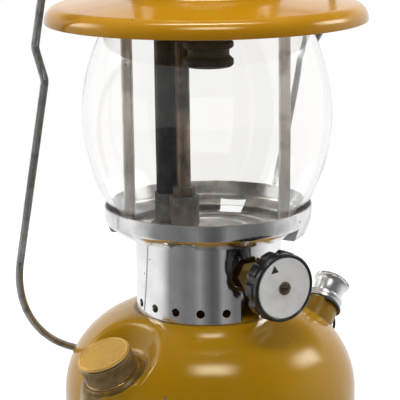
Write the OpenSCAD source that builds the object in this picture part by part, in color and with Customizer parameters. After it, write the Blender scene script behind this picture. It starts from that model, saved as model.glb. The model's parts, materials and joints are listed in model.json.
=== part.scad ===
// Gasoline pressure lantern: fount with pump, filler and valve, burner frame, globe, ventilator and bail.
// Millimetres, +Z up, origin on the floor under the fount's axis. The valve wheel faces -Y.
// Angles round the axis start at -Y and grow towards +X.

/* [Fount] */
// Diameter of the fount
tank_d = 153; // [149:0.5:157]
// Height of the fount's crown above the floor
tank_h = 90.4; // [88:0.2:93]
// Radius of the rounded shoulder
shoulder_r = 45; // [43:0.5:47]
// Radius of the rounded lower edge
foot_r = 6; // [4:0.5:8]
// Sheet thickness of the fount
sheet = 1.2; // [0.9:0.1:1.5]
// Width of the flat lip that the fount stands on
foot_lip = 6; // [4:0.5:8]
// Height of the base pan's underside above the floor
pan_lift = 11; // [9.5:0.5:14]

/* [Filler] */
// Angle of the filler round the fount
filler_angle = -81; // [-88:1:-74]
// Lean of the filler away from upright
filler_tilt = 24; // [20:1:28]
// Distance of the filler seat inwards from the fount's side
filler_in = 9.8; // [8.5:0.1:11]
// Distance of the filler seat below the fount's crown
filler_down = 23.4; // [22:0.2:25]
// Diameter of the boss under the filler
boss_d = 32; // [30.5:0.5:34]
// Diameter of the sunk seat round the filler cap
seat_d = 39; // [37:0.5:41]
// Widening of the sunk seat's wall for each millimetre of depth
seat_flare = 0.4; // [0.3:0.05:0.5]
// Diameter of the filler neck
neck_d = 20.4; // [18:0.2:22]
// Wall of the filler neck
neck_wall = 2.6; // [2:0.1:3.5]
// Height of the filler neck above its seat
neck_h = 9; // [7:0.5:11]
// Diameter of the filler cap
cap_d = 27.6; // [26:0.2:30]
// Height of the filler cap
cap_h = 12; // [11:0.2:14]
// Thickness of the filler gasket
gasket_t = 1.6; // [1:0.1:2.5]

/* [Pump] */
// Angle of the pump round the fount
pump_angle = 76; // [70:1:82]
// Lean of the pump away from upright
pump_tilt = 47; // [44:0.5:49]
// Turn of the pump's lean away from straight outwards
pump_swing = 37; // [32:1:40]
// Distance of the pump mouth inwards from the fount's side
pump_in = 12; // [11.4:0.1:12.8]
// Distance of the pump mouth below the fount's crown
pump_down = 6.8; // [6:0.1:7.4]
// Outer diameter of the pump barrel
barrel_d = 16.4; // [15.6:0.2:17]
// Wall of the pump barrel
barrel_wall = 0.7; // [0.5:0.1:1]
// Length of the pump barrel
barrel_len = 66; // [60:1:67]
// Diameter of the pump cap's flange
pump_cap_d = 19.8; // [19.4:0.2:21]
// Thickness of the pump cap's flange
pump_cap_t = 4.2; // [3.4:0.1:5]
// Diameter of the pump rod
rod_d = 5.8; // [5:0.2:6.6]
// Diameter of the air stem inside the rod
air_stem_d = 3; // [2.4:0.1:3.4]
// Diameter of the pump knob
pump_knob_d = 19.4; // [18:0.2:21]
// Height of the pump knob
pump_knob_h = 10.4; // [9:0.2:12]
// Wire diameter of the pump clip
clip_wire = 1.5; // [1.2:0.1:1.8]
// Radius of the pump clip's two tails
clip_loop = 6.5; // [5.5:0.1:7.5]
// Half the spacing of the pump clip's tails
clip_strand = 2.8; // [2.4:0.1:3.4]

/* [Valve] */
// Height of the valve's axis above the fount's crown
valve_rise = 23.6; // [22:0.2:25]
// Diameter of the valve body's post
post_d = 16; // [14:0.5:18]
// Diameter of the valve body's arm
arm_d = 12; // [11:0.5:13]
// Reach of the arm's end from the axis
arm_reach = 31; // [29:0.5:33]
// Diameter of the valve stem
stem_d = 4.8; // [4:0.2:5.6]
// Size of the packing nut across its flats
packing_nut_af = 13; // [12:0.5:14]
// Distance of the wheel's face from the axis
wheel_reach = 67.8; // [66:0.2:70]
// Diameter of the wheel's face
wheel_d = 34.4; // [32:0.2:36]
// Depth of the wheel
wheel_depth = 12.6; // [11:0.2:14]
// Number of lobes on the wheel
wheel_lobes = 10; // [8:1:12]
// Diameter of the direction disc
disc_d = 30.6; // [28:0.2:31]

/* [Collar and globe rest] */
// Diameter of the collar
collar_d = 76; // [74:0.5:78]
// Sheet thickness of the collar
collar_t = 0.8; // [0.6:0.1:1.2]
// Spacing of the air holes in degrees
hole_step = 20; // [18:2:24]
// Diameter of the air holes
hole_d = 3.7; // [3:0.1:4.5]
// Height of the air holes above the collar's lower edge
hole_rise = 5.5; // [4.5:0.1:7]
// Diameter of the valve opening
keyhole_d = 20; // [18:0.5:22]
// Width of the slot below the valve opening
slot_w = 11.2; // [10:0.2:14]
// Diameter of the globe rest's rim
rest_d = 107; // [105:0.5:109]
// Diameter of the globe rest's floor
rest_floor_d = 88; // [86:0.5:90]
// Height of the globe rest's underside above the fount's crown
rest_rise = 39.8; // [38.6:0.1:41]
// Height of the sloping step round the floor
rest_step = 6.1; // [5.5:0.1:7]
// Height of the upright rim above the step
rest_rim = 8.4; // [7.5:0.1:9.5]
// Sheet thickness of the globe rest
rest_t = 0.9; // [0.7:0.1:1.1]
// Width of the air windows
window_w = 15.5; // [13:0.5:17]

/* [Burner and frame] */
// Angle of the burner tube round the axis
burner_angle = -168; // [-174:1:-162]
// Distance of the mixing tube from the axis
tube_reach = 30; // [29:0.5:31]
// Outer diameter of the mixing tube
tube_d = 12.3; // [11:0.1:12.8]
// Wall of the mixing tube
tube_wall = 0.9; // [0.7:0.1:1.2]
// Height above the globe rest at which the mixing tube starts to bend over
tube_rise = 108.9; // [106:0.1:110]
// Distance of the generator from the axis
gen_reach = 17.8; // [17.2:0.1:18.4]
// Diameter of the generator
gen_d = 7.3; // [6.6:0.1:7.6]
// Diameter of the burner cap
burner_d = 25.6; // [24:0.2:28]
// Diameter of the groove that holds a mantle
groove_d = 21.3; // [20:0.1:22]
// Height of the burner cap's lower rim above the globe rest
burner_rise = 84.9; // [83.5:0.1:86.5]
// Distance of the burner cap beyond the axis
burner_off = 1.5; // [0:0.1:2]
// Angle of the right upright round the axis
upright_angle = 68; // [64:1:72]
// Distance of the uprights from the axis
upright_reach = 41; // [40:0.2:41.4]
// Radial width of the uprights
upright_w = 5.4; // [4.6:0.2:6]
// Depth of the uprights' folded sides
upright_depth = 4.4; // [3.6:0.2:5]
// Sheet thickness of the uprights and the bridge
frame_t = 0.9; // [0.7:0.1:1.2]
// Height of the bridge above the globe rest
bridge_rise = 136.4; // [135.5:0.1:138]
// Diameter of the stud that holds the ventilator
stud_d = 6; // [5:0.2:6.4]

/* [Globe] */
// Largest diameter of the globe
globe_d = 128; // [125:0.5:131]
// Diameter of the globe's open ends
globe_lip_d = 93.4; // [92.6:0.2:95]
// Height of the globe
globe_h = 117.8; // [116.6:0.2:119]
// Glass thickness
glass_t = 2.4; // [2:0.1:2.8]
// Height of the straight lips
lip_h = 5; // [4:0.5:6]

/* [Ventilator] */
// Diameter of the brim
brim_d = 164; // [160:0.5:167]
// Depth of the brim's turned-down edge
brim_drop = 8; // [7.6:0.2:9]
// Radius of the brim's rounded edge
brim_round = 7.5; // [5:0.5:7.5]
// Rise of the brim from its edge to the crown
brim_rise = 5.6; // [4:0.2:7]
// Diameter of the crown where it meets the brim
crown_d = 80; // [78.5:0.5:83]
// Diameter of the crown at its top
crown_top_d = 75; // [74:0.5:78]
// Height of the crown above the brim
crown_h = 45.5; // [44:0.5:49]
// Sheet thickness of the ventilator
vent_t = 1; // [0.8:0.1:1.3]
// Number of vent slots in the crown
vent_slots = 12; // [8:4:12]
// Diameter of the ball nut
ball_d = 18; // [15:0.5:21]

/* [Bail] */
// Wire diameter of the bail
bail_wire = 4; // [3.4:0.1:4.4]
// Height of the bail's pivots above the brim
pivot_rise = 27.3; // [26:0.1:30]
// Half the width of the bail beside the brim
bail_top_w = 89; // [87:0.2:92]
// Half the width of the bail below its kinks
bail_leg_w = 80.9; // [80.4:0.1:82]
// Distance of the kinks' upper bends from the pivots
kink_start = 52; // [49:0.5:54]
// Length of the kinks along the legs
kink_len = 19; // [16:0.5:22]
// Distance of the bail's far side from the pivots
bail_len = 245; // [241:0.5:249]
// Radius of the bail's round corners
bail_corner_r = 69; // [60:1:74]

/* [Fits] */
// Radial clearance of turning and sliding fits
run_fit = 0.08; // [0.05:0.01:0.1]
// Radial gap of soldered and threaded seats
seat_fit = 0.06; // [0.04:0.01:0.1]
// Gap between pieces that only come near each other
clear = 0.4; // [0.3:0.1:0.6]

/* [Hidden] */
$fn = 96;
eps = 0.02;
swell = 0.01;
lap = 0.05;

enamel = [0.80, 0.56, 0.12];
brass = [0.72, 0.58, 0.30];
nickel = [0.80, 0.80, 0.78];
steel = [0.55, 0.55, 0.54];
soot = [0.22, 0.21, 0.21];
bronze = [0.45, 0.33, 0.22];
black = [0.08, 0.08, 0.08];
alloy = [0.78, 0.78, 0.79];
glass = [0.85, 0.92, 0.95, 0.35];

// Fount
tank_r = tank_d / 2;
shoulder_x = tank_r - shoulder_r;
shoulder_z = tank_h - shoulder_r;
function shoulder_height(r) = shoulder_z + sqrt(shoulder_r * shoulder_r - pow(r - shoulder_x, 2));
bush_d = post_d + 6;
bush_flange_t = 1.5;
bush_depth = 9;
pickup_d = 8;

// Filler, along its own axis from the seat upwards
filler_reach = tank_r - filler_in;
filler_seat = tank_h - filler_down;
boss_r = boss_d / 2;
seat_r = seat_d / 2;
boss_depth = 30;
neck_flange_t = 1;
cap_gap = 0.4;
cap_low = neck_flange_t + cap_gap;
cap_bore_h = neck_h + gasket_t + 2 * seat_fit - cap_low;

// Pump, along its own axis from the mouth upwards
pump_reach = tank_r - pump_in;
pump_mouth = tank_h - pump_down;
pump_boss_d = barrel_d + 1.9;
pump_boss_depth = 16;
barrel_bore = barrel_d - 2 * barrel_wall;
pump_cap_gap = 0.5;
pump_spigot = 4;
// Angles at which the two strands of the clip stop, just above the fount
clip_stop = [20, 54];
knob_low = pump_cap_gap + pump_cap_t + clear;
cup_h = 7;
cup_low = -barrel_len + 7.5;
rod_low = cup_low - 5;
collar_t2 = 2;
check_h = 6;
stem_low = -barrel_len - check_h / 2;
stem_high = knob_low + pump_knob_h - 5;

// Valve, along -Y from the axis
valve_z = tank_h + valve_rise;
stem_r = stem_d / 2;
nut_t = 7;
wheel_back = wheel_reach - wheel_depth;
wheel_rim_t = 3;
hub_len = 6;
disc_t = 0.5;
disc_recess = 0.8;
riser_d = gen_d + 4.6;
rest_z = tank_h + rest_rise;
riser_top = rest_z + rest_t - seat_fit;
screw_d = 6.6;

// Collar and globe rest
collar_r = collar_d / 2;
collar_low = shoulder_height(collar_r - collar_t) + seat_fit;
rest_mid = rest_z + rest_t / 2;
floor_top = rest_z + rest_t;
rest_wall_r = (rest_d - rest_t) / 2;
floor_r = rest_floor_d / 2;
step_slope = atan2(rest_step, rest_wall_r - floor_r);
lug_half = 8;
lug_slant = 4;

// Globe
lip_r = globe_lip_d / 2;
globe_low = floor_top + (lip_r - floor_r) * tan(step_slope) + clear / 2;
globe_top = globe_low + globe_h;

// Ventilator, its brim just above the globe's lip
brim_tan = 2 * brim_rise / (brim_d - crown_d);
lip_drop = (lip_r - (crown_d - vent_t) / 2) * brim_tan;
crown_base_z = globe_top + clear / 2 + lip_drop + vent_t / 2 * (1 + sqrt(1 + brim_tan * brim_tan));
brim_edge_z = crown_base_z - brim_rise;
brim_low = brim_edge_z - brim_drop;
crown_top_z = crown_base_z + crown_h;
crown_round = 8;
slot_d = 5;
slot_half = 4;
slot_down = 9;
slot_in = 8;
pivot_z = crown_base_z + pivot_rise;
pin_head_t = 1.5;
function crown_r(z) = (crown_d + (crown_top_d - crown_d) * (z - crown_base_z) / crown_h) / 2;
pin_in = crown_r(pivot_z) - vent_t - clear - pin_head_t;

// Burner
tube_r = tube_d / 2;
tube_turn_r = (tube_reach + burner_off) / 2;
tube_bend_z = floor_top + tube_rise;
burner_z = floor_top + burner_rise;
base_h = 15;
base_wall = 1;
base_hub_r = gen_d / 2 + 4.3;
gen_seat = 8;
gen_low = riser_top - gen_seat;
jet_h = 3;
jet_bore = 12;
gen_side = gen_reach + gen_d / 4 - tube_reach + tube_turn_r;
gen_top = tube_bend_z + sqrt(pow(tube_turn_r - tube_r, 2) - pow(gen_side, 2)) - clear;
needle_d = 0.9;
needle_slug_d = 4.2;
burner_flange = 3.8;
groove_h = 4.3;
burner_lower_h = 5.2;
burner_neck_h = 6;
burner_top = burner_z + burner_lower_h + groove_h + burner_flange;

// Frame
upright_drop = 3;
upright_top = globe_top - upright_drop;
bridge_z = floor_top + bridge_rise;
bridge_leg_r = upright_reach - upright_w / 2 - frame_t / 2;
bridge_lap = 12;
bridge_leg_low = upright_top - bridge_lap;
bridge_bend = 3;
bridge_flat = 27;
bridge_w = 8;
stud_head_t = 3;
baffle_t = 0.8;
baffle_r = 32;
baffle_edge = 4.5;
baffle_dip = 3;

// Bail
wire_r = bail_wire / 2;
bail_rest = asin((tank_r + wire_r + clear) / bail_len);

// Rounded corners of bent sheet and bent wire
function leg(a, b) = (b - a) / norm(b - a);
function left_of(u) = [-u[1], u[0]];
function turn(p, i) =
    let (u = leg(p[i - 1], p[i]), v = leg(p[i], p[i + 1]))
    atan2(u[0] * v[1] - u[1] * v[0], u * v);
function trim(p, r, i) =
    (i == 0 || i == len(p) - 1) ? 0 : r[i] * tan(abs(turn(p, i)) / 2);
function leg_start(p, r, i) = trim(p, r, i) - ((i == 0 || i == len(p) - 1) ? 0 : lap);
function bend_side(p, i) = sign(turn(p, i)) * left_of(leg(p[i - 1], p[i]));
function bend_centre(p, r, i) = p[i] - leg(p[i - 1], p[i]) * trim(p, r, i) + bend_side(p, i) * r[i];
function bend_start(p, i) = atan2(-bend_side(p, i)[1], -bend_side(p, i)[0]);
function ray(a) = [cos(a), sin(a)];

// Cross-section of a bent sheet along the middle line p, with bend radii r and thickness t.
// A bend is a hair thicker than its legs, which run a short way into it.
module sheet_section(p, r, t) {
    for (i = [0 : len(p) - 2]) {
        u = leg(p[i], p[i + 1]);
        a = p[i] + u * leg_start(p, r, i);
        b = p[i + 1] - u * leg_start(p, r, i + 1);
        n = left_of(u) * t / 2;
        polygon([a - n, b - n, b + n, a + n]);
    }
    for (i = [1 : len(p) - 2]) {
        s = bend_start(p, i);
        f = turn(p, i);
        k = 1.5 * (r[i] + t);
        translate(bend_centre(p, r, i)) intersection() {
            difference() {
                circle(r[i] + t / 2 + swell);
                circle(r[i] - t / 2 - swell);
            }
            polygon([[0, 0], k * ray(s), k * ray(s + f / 2), k * ray(s + f)]);
        }
    }
}

// Round bar of radius w bent along p in the XY plane
module bent_bar(p, r, w) {
    for (i = [0 : len(p) - 2]) {
        u = leg(p[i], p[i + 1]);
        a = p[i] + u * leg_start(p, r, i);
        b = p[i + 1] - u * leg_start(p, r, i + 1);
        translate([a[0], a[1], 0]) rotate([0, 0, atan2(u[1], u[0])]) rotate([0, 90, 0])
            cylinder(r = w, h = norm(b - a));
    }
    for (i = [1 : len(p) - 2]) {
        c = bend_centre(p, r, i);
        f = turn(p, i);
        translate([c[0], c[1], 0]) rotate([0, 0, bend_start(p, i) + min(f, 0)])
            rotate_extrude(angle = abs(f)) translate([r[i], 0]) circle(w + swell);
    }
}

// Ring between two radii
module ring(r_out, r_in, h) {
    difference() {
        cylinder(r = r_out, h = h);
        translate([0, 0, -eps]) cylinder(r = r_in, h = h + 2 * eps);
    }
}

// Local frames: +X points outwards at the given angle round the axis
module at_angle(a) { rotate([0, 0, a - 90]) children(); }
module at_filler() {
    at_angle(filler_angle) translate([filler_reach, 0, filler_seat]) rotate([0, filler_tilt, 0]) children();
}
module at_pump() {
    at_angle(pump_angle) translate([pump_reach, 0, pump_mouth])
        rotate([0, 0, pump_swing]) rotate([0, pump_tilt, 0]) children();
}
// Along the valve's axis: +Z points out of the front
module at_valve() { translate([0, 0, valve_z]) rotate([90, 0, 0]) children(); }

// Half outline of the fount, moved inwards by an inset
module fount_outline(inset) {
    wall_x = tank_r - inset;
    translate([0, inset]) square([tank_r - foot_r, foot_r - inset]);
    translate([tank_r - foot_r, foot_r]) intersection() {
        circle(foot_r - inset);
        translate([0, -foot_r]) square(foot_r);
    }
    translate([0, foot_r]) square([wall_x, shoulder_z - foot_r]);
    translate([shoulder_x, shoulder_z]) intersection() {
        circle(shoulder_r - inset);
        square(shoulder_r);
    }
    translate([0, shoulder_z]) square([shoulder_x, shoulder_r - inset]);
}

// Flared well that the filler's seat is sunk by
module seat_well(r) { cylinder(r1 = r, r2 = r + seat_flare * boss_depth, h = boss_depth); }

module fount_shell() {
    color(enamel) difference() {
        union() {
            rotate_extrude() fount_outline(0);
            at_filler() translate([0, 0, -boss_depth]) cylinder(r = boss_r, h = boss_depth);
            at_pump() translate([0, 0, -pump_boss_depth]) cylinder(d = pump_boss_d, h = pump_boss_depth);
        }
        difference() {
            rotate_extrude() fount_outline(sheet);
            at_filler() translate([0, 0, -sheet]) seat_well(seat_r + sheet);
        }
        at_filler() seat_well(seat_r);
        at_filler() translate([0, 0, -boss_depth]) cylinder(r = boss_r - sheet, h = boss_depth - sheet);
        at_filler() translate([0, 0, -boss_depth]) cylinder(d = neck_d + 2 * seat_fit, h = 2 * boss_depth);
        at_pump() translate([0, 0, -2 * pump_boss_depth])
            cylinder(d = barrel_d + 2 * seat_fit, h = 3 * pump_boss_depth);
        translate([0, 0, tank_h - 2 * sheet]) cylinder(d = bush_d + 2 * seat_fit, h = 4 * sheet);
        translate([0, 0, -sheet]) cylinder(r = tank_r - foot_r - foot_lip, h = 3 * sheet);
    }
}

module base_pan() {
    pan_r = tank_r - sheet - seat_fit;
    color(enamel) rotate_extrude() sheet_section(
        [[pan_r - sheet / 2, foot_r], [pan_r - sheet / 2, pan_lift + sheet / 2], [0, pan_lift + sheet / 2]],
        [0, 2.5, 0], sheet);
}

module valve_bush() {
    color(brass) translate([0, 0, tank_h]) difference() {
        union() {
            translate([0, 0, -bush_depth]) cylinder(d = bush_d, h = bush_depth + eps);
            cylinder(d = bush_d + 5, h = bush_flange_t);
        }
        translate([0, 0, -bush_depth - 1])
            cylinder(d = post_d + 2 * seat_fit, h = bush_depth + bush_flange_t + 2);
    }
}

module pickup_tube() {
    pick_low = pan_lift + sheet + 3;
    color(brass) translate([0, 0, pick_low])
        ring(pickup_d / 2, pickup_d / 2 - 1, tank_h - bush_depth - 2 - pick_low);
}

module filler_neck() {
    color(brass) at_filler() difference() {
        union() {
            translate([0, 0, -sheet - 3]) cylinder(d = neck_d, h = sheet + 3 + neck_h);
            cylinder(d = cap_d, h = neck_flange_t);
        }
        translate([0, 0, -sheet - 4]) cylinder(d = neck_d - 2 * neck_wall, h = neck_h + sheet + 5);
    }
}

module filler_gasket() {
    color(black) at_filler() translate([0, 0, neck_h + seat_fit])
        ring(neck_d / 2 - run_fit, neck_d / 2 - neck_wall, gasket_t);
}

module filler_cap() {
    r = cap_d / 2;
    bore_r = neck_d / 2 + run_fit;
    color(bronze) at_filler() translate([0, 0, cap_low]) rotate_extrude() polygon([
        [bore_r, 0], [r - 0.6, 0], [r, 0.6], [r, cap_h - 2.6], [r - 0.5, cap_h - 2.3], [r - 0.5, cap_h - 1.8],
        [r - 1.4, cap_h], [r - 2.2, cap_h], [r - 2.6, cap_h - 0.5], [0, cap_h - 0.3],
        [0, cap_bore_h], [bore_r, cap_bore_h]
    ]);
}

module pump_barrel() {
    color(brass) at_pump() translate([0, 0, -barrel_len]) ring(barrel_d / 2, barrel_bore / 2, barrel_len);
}

module pump_cap() {
    spigot_r = barrel_bore / 2 - seat_fit;
    color(alloy) at_pump() difference() {
        union() {
            translate([0, 0, -pump_spigot]) cylinder(r = spigot_r, h = pump_spigot + pump_cap_gap + eps);
            cylinder(d = barrel_d, h = pump_cap_gap + eps);
            translate([0, 0, pump_cap_gap]) rotate_extrude() polygon([
                [0, 0], [pump_cap_d / 2, 0], [pump_cap_d / 2, pump_cap_t - 0.8],
                [pump_cap_d / 2 - 0.8, pump_cap_t], [0, pump_cap_t]
            ]);
        }
        translate([0, 0, -pump_spigot - 1])
            cylinder(d = rod_d + 2 * run_fit, h = pump_spigot + pump_cap_t + 3);
    }
}

module pump_clip() {
    ring_r = pump_boss_d / 2 + clip_wire / 2 + seat_fit;
    ring_z = -clip_wire / 2 - seat_fit;
    color(black) at_pump() {
        difference() {
            translate([0, 0, ring_z]) rotate_extrude() translate([ring_r, 0]) circle(d = clip_wire);
            translate([-2.8 * ring_r, -ring_r, -2 * clip_wire]) cube([2 * ring_r, 2 * ring_r, 3 * clip_wire]);
        }
        for (i = [0, 1])
            translate([ring_r, (2 * i - 1) * clip_strand, ring_z - clip_loop]) rotate([90, 0, 0])
                rotate_extrude(angle = 90 - clip_stop[i], start = clip_stop[i])
                    translate([clip_loop, 0]) circle(d = clip_wire);
    }
}

module check_valve() {
    spigot_r = barrel_bore / 2 - seat_fit;
    color(brass) at_pump() difference() {
        union() {
            translate([0, 0, -barrel_len - check_h]) cylinder(d = barrel_d, h = check_h);
            translate([0, 0, -barrel_len - eps]) cylinder(r = spigot_r, h = 2 + eps);
        }
        translate([0, 0, stem_low]) cylinder(d = air_stem_d + 2 * run_fit, h = check_h);
    }
}

module air_stem() {
    color(steel) at_pump() translate([0, 0, stem_low + clear])
        cylinder(d = air_stem_d, h = stem_high - stem_low - clear);
}

module pump_rod() {
    color(steel) at_pump() difference() {
        union() {
            translate([0, 0, rod_low]) cylinder(d = rod_d, h = knob_low + pump_knob_h - 3 - rod_low);
            translate([0, 0, rod_low]) cylinder(d = rod_d + 4, h = collar_t2);
            translate([0, 0, cup_low + cup_h + clear]) cylinder(d = rod_d + 4, h = collar_t2);
        }
        translate([0, 0, rod_low - 1])
            cylinder(d = air_stem_d + 2 * run_fit, h = stem_high + clear + 1 - rod_low);
    }
}

module pump_cup() {
    r = barrel_bore / 2 - run_fit;
    bore_r = rod_d / 2 + run_fit;
    color(bronze) at_pump() translate([0, 0, cup_low]) rotate_extrude() polygon([
        [bore_r, cup_h], [r - 1, cup_h], [r, cup_h - 1.5], [r, 0], [r - 1.4, 0],
        [r - 1.4, cup_h - 3], [bore_r, cup_h - 3]
    ]);
}

module cup_retainer() {
    low = rod_low + collar_t2 + clear;
    color(steel) at_pump() translate([0, 0, low])
        ring(rod_d / 2 + 2, rod_d / 2 + run_fit, cup_low + cup_h - 3 - low);
}

module pump_knob() {
    r = pump_knob_d / 2;
    h = pump_knob_h;
    bore_r = rod_d / 2 + seat_fit;
    rod_top = h - 3;
    color(alloy) at_pump() translate([0, 0, knob_low]) rotate_extrude() polygon([
        [bore_r, 0], [r * 0.76, 0], [r * 0.79, h * 0.06], [r * 0.84, h * 0.36], [r * 0.92, h * 0.68],
        [r, h * 0.80], [r, h - 0.7], [r - 0.7, h], [0, h], [0, rod_top], [bore_r, rod_top]
    ]);
}

module valve_body() {
    riser_low = valve_z - arm_d / 2;
    post_low = tank_h - bush_depth - 2;
    color(brass) difference() {
        union() {
            translate([0, 0, post_low]) cylinder(d = post_d, h = valve_z + post_d / 2 - post_low);
            at_valve() cylinder(d = arm_d, h = arm_reach);
            at_angle(burner_angle) {
                translate([0, 0, valve_z]) rotate([0, 90, 0]) cylinder(d = arm_d - 2, h = gen_reach);
                translate([gen_reach, 0, riser_low]) cylinder(d = riser_d, h = riser_top - riser_low);
            }
        }
        at_valve() cylinder(d = stem_d + 2 * run_fit, h = arm_reach + 1);
        at_angle(burner_angle) translate([gen_reach, 0, 0]) {
            translate([0, 0, valve_z - 3]) cylinder(d = needle_slug_d + 0.4, h = riser_top);
            translate([0, 0, gen_low]) cylinder(d = gen_d + 2 * seat_fit, h = riser_top);
        }
        translate([0, 0, post_low - 1]) cylinder(d = pickup_d - 3, h = riser_low - 3 - post_low);
    }
}

module stem_packing() {
    color(black) at_valve() translate([0, 0, arm_reach]) ring(arm_d / 2 - 2, stem_r + run_fit, 2);
}

module packing_nut() {
    color(brass) at_valve() translate([0, 0, arm_reach]) difference() {
        cylinder(d = packing_nut_af / cos(30), h = nut_t, $fn = 6);
        translate([0, 0, -eps]) cylinder(r = arm_d / 2 - 2 + seat_fit, h = 2 + eps);
        translate([0, 0, -1]) cylinder(r = stem_r + run_fit, h = nut_t + 2);
    }
}

module valve_stem() {
    color(steel) at_valve() translate([0, 0, 2]) cylinder(r = stem_r, h = wheel_reach - 3 - 2);
}

module valve_wheel() {
    rim_r = wheel_d / 2;
    grip_r = rim_r + 0.4;
    grip_h = wheel_depth - wheel_rim_t - 3;
    scallop_r = 3.4;
    color(black) at_valve() difference() {
        union() {
            translate([0, 0, wheel_reach - wheel_rim_t]) rotate_extrude() polygon([
                [0, 0], [rim_r, 0], [rim_r, wheel_rim_t - 0.8], [rim_r - 0.8, wheel_rim_t], [0, wheel_rim_t]
            ]);
            translate([0, 0, wheel_back + 3]) linear_extrude(grip_h) difference() {
                circle(grip_r);
                for (i = [0 : wheel_lobes - 1]) rotate(360 * (i + 0.5) / wheel_lobes)
                    translate([grip_r + scallop_r * 0.55, 0]) circle(scallop_r);
            }
            translate([0, 0, wheel_back]) cylinder(r1 = 9, r2 = rim_r - 3, h = 3 + eps);
            translate([0, 0, wheel_back - hub_len]) cylinder(r = 6.5, h = hub_len + eps);
        }
        translate([0, 0, wheel_reach - disc_recess]) cylinder(d = disc_d + 2 * seat_fit, h = 2);
        translate([0, 0, wheel_back - hub_len - 1]) cylinder(r = stem_r + seat_fit, h = wheel_reach);
    }
}

module wheel_disc() {
    color(alloy) at_valve() translate([0, 0, wheel_reach - disc_recess])
        ring(disc_d / 2, screw_d / 4 + seat_fit, disc_t);
}

module wheel_screw() {
    color(bronze) at_valve() difference() {
        union() {
            translate([0, 0, wheel_reach - 3]) cylinder(d = screw_d / 2, h = 3);
            translate([0, 0, wheel_reach - disc_recess + disc_t]) rotate_extrude() polygon([
                [0, 0], [screw_d / 2, 0], [screw_d / 2, 0.6], [screw_d / 2 - 0.9, 1.3], [0, 1.6]
            ]);
        }
        translate([-screw_d, -0.5, wheel_reach - disc_recess + disc_t + 0.8]) cube([2 * screw_d, 1, 3]);
    }
}

module generator() {
    color(bronze) at_angle(burner_angle) translate([gen_reach, 0, 0]) difference() {
        union() {
            translate([0, 0, gen_low]) cylinder(d = gen_d, h = gen_top - jet_h - gen_low);
            translate([0, 0, gen_top - jet_h - eps]) cylinder(d1 = gen_d, d2 = gen_d / 2, h = jet_h + eps);
        }
        translate([0, 0, gen_low - 1])
            cylinder(d = needle_slug_d + 2 * run_fit, h = gen_top - jet_h - 3 - gen_low);
        translate([0, 0, gen_top - jet_bore]) cylinder(d = needle_d + 0.6, h = 2 * jet_bore);
    }
}

module generator_nut() {
    nut_low = floor_top + base_h;
    color(brass) at_angle(burner_angle) translate([gen_reach, 0, nut_low]) difference() {
        cylinder(d = (gen_d + 3) / cos(30), h = 5, $fn = 6);
        translate([0, 0, -1]) cylinder(d = gen_d + 2 * seat_fit, h = 7);
    }
}

module cleaning_needle() {
    color(steel) at_angle(burner_angle) translate([gen_reach, 0, 0]) union() {
        translate([0, 0, gen_low + 2]) cylinder(d = needle_slug_d, h = 8);
        translate([0, 0, gen_low + 2]) cylinder(d = needle_d, h = gen_top - 5 - gen_low);
    }
}

module collar() {
    collar_h = rest_z - seat_fit - collar_low;
    color(nickel) difference() {
        translate([0, 0, collar_low]) ring(collar_r, collar_r - collar_t, collar_h);
        at_valve() cylinder(d = keyhole_d, h = collar_d);
        translate([-slot_w / 2, -collar_d, collar_low - 1])
            cube([slot_w, collar_d, valve_z - collar_low + 1]);
        for (a = [hole_step : hole_step : 360 - hole_step])
            at_angle(a) translate([collar_r - 4, 0, collar_low + hole_rise]) rotate([0, 90, 0])
                cylinder(d = hole_d, h = 8);
    }
}

// Lug under an upright, from the floor out to the upright rim
module lug() {
    low = rest_z - 0.3;
    corner_r = rest_wall_r - lug_slant;
    top = rest_mid + rest_step;
    rotate_extrude(angle = 2 * lug_half, start = -lug_half) polygon([
        [floor_r - 2, rest_mid], [floor_r - 1, low], [corner_r - 0.5, low], [corner_r + 0.4, low + 0.5],
        [rest_wall_r + 0.3, top + 0.8], [rest_wall_r - 0.25, top + 0.8], [rest_wall_r - 0.25, top],
        [floor_r, rest_mid + 0.15]]);
}

module globe_rest() {
    half_w = window_w / 2;
    inner_r = collar_r + clear;
    outer_r = rest_wall_r - 2 * rest_t;
    color(steel) difference() {
        union() {
            rotate_extrude() sheet_section(
                [[0, rest_mid], [floor_r, rest_mid], [rest_wall_r, rest_mid + rest_step],
                 [rest_wall_r, rest_mid + rest_step + rest_rim]],
                [0, 3, 3, 0], rest_t);
            for (a = [upright_angle, upright_angle - 180]) at_angle(a) lug();
        }
        for (i = [0 : 3]) at_angle(-50 + 90 * i) translate([0, 0, rest_z - 3]) linear_extrude(rest_step + 4)
            polygon([[inner_r, -half_w * 0.88], [floor_r, -half_w * 0.8], [outer_r, -half_w],
                     [outer_r, half_w], [floor_r, half_w * 0.8], [inner_r, half_w * 0.88]]);
        at_angle(burner_angle) translate([0, 0, rest_z - 1]) {
            translate([gen_reach, 0, 0]) cylinder(d = riser_d + 2 * seat_fit, h = 4);
            translate([tube_reach, 0, 0]) cylinder(r = tube_r - tube_wall, h = 4);
        }
    }
}

module burner_base() {
    socket_r = tube_r + base_wall;
    color(soot) at_angle(burner_angle) translate([0, 0, floor_top]) difference() {
        union() {
            translate([tube_reach, 0, 0]) cylinder(r = socket_r, h = base_h);
            translate([gen_reach, 0, 0]) cylinder(r = base_hub_r, h = base_h);
            translate([gen_reach, 2 - socket_r, 0])
                cube([tube_reach - gen_reach, 2 * socket_r - 4, base_h - 3]);
        }
        translate([tube_reach, 0, 1]) cylinder(r = tube_r + seat_fit, h = base_h);
        translate([tube_reach, 0, -1]) cylinder(r = tube_r - tube_wall, h = 3);
        translate([gen_reach, 0, -1]) cylinder(d = gen_d + 2 * seat_fit, h = base_h + 2);
    }
}

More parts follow.
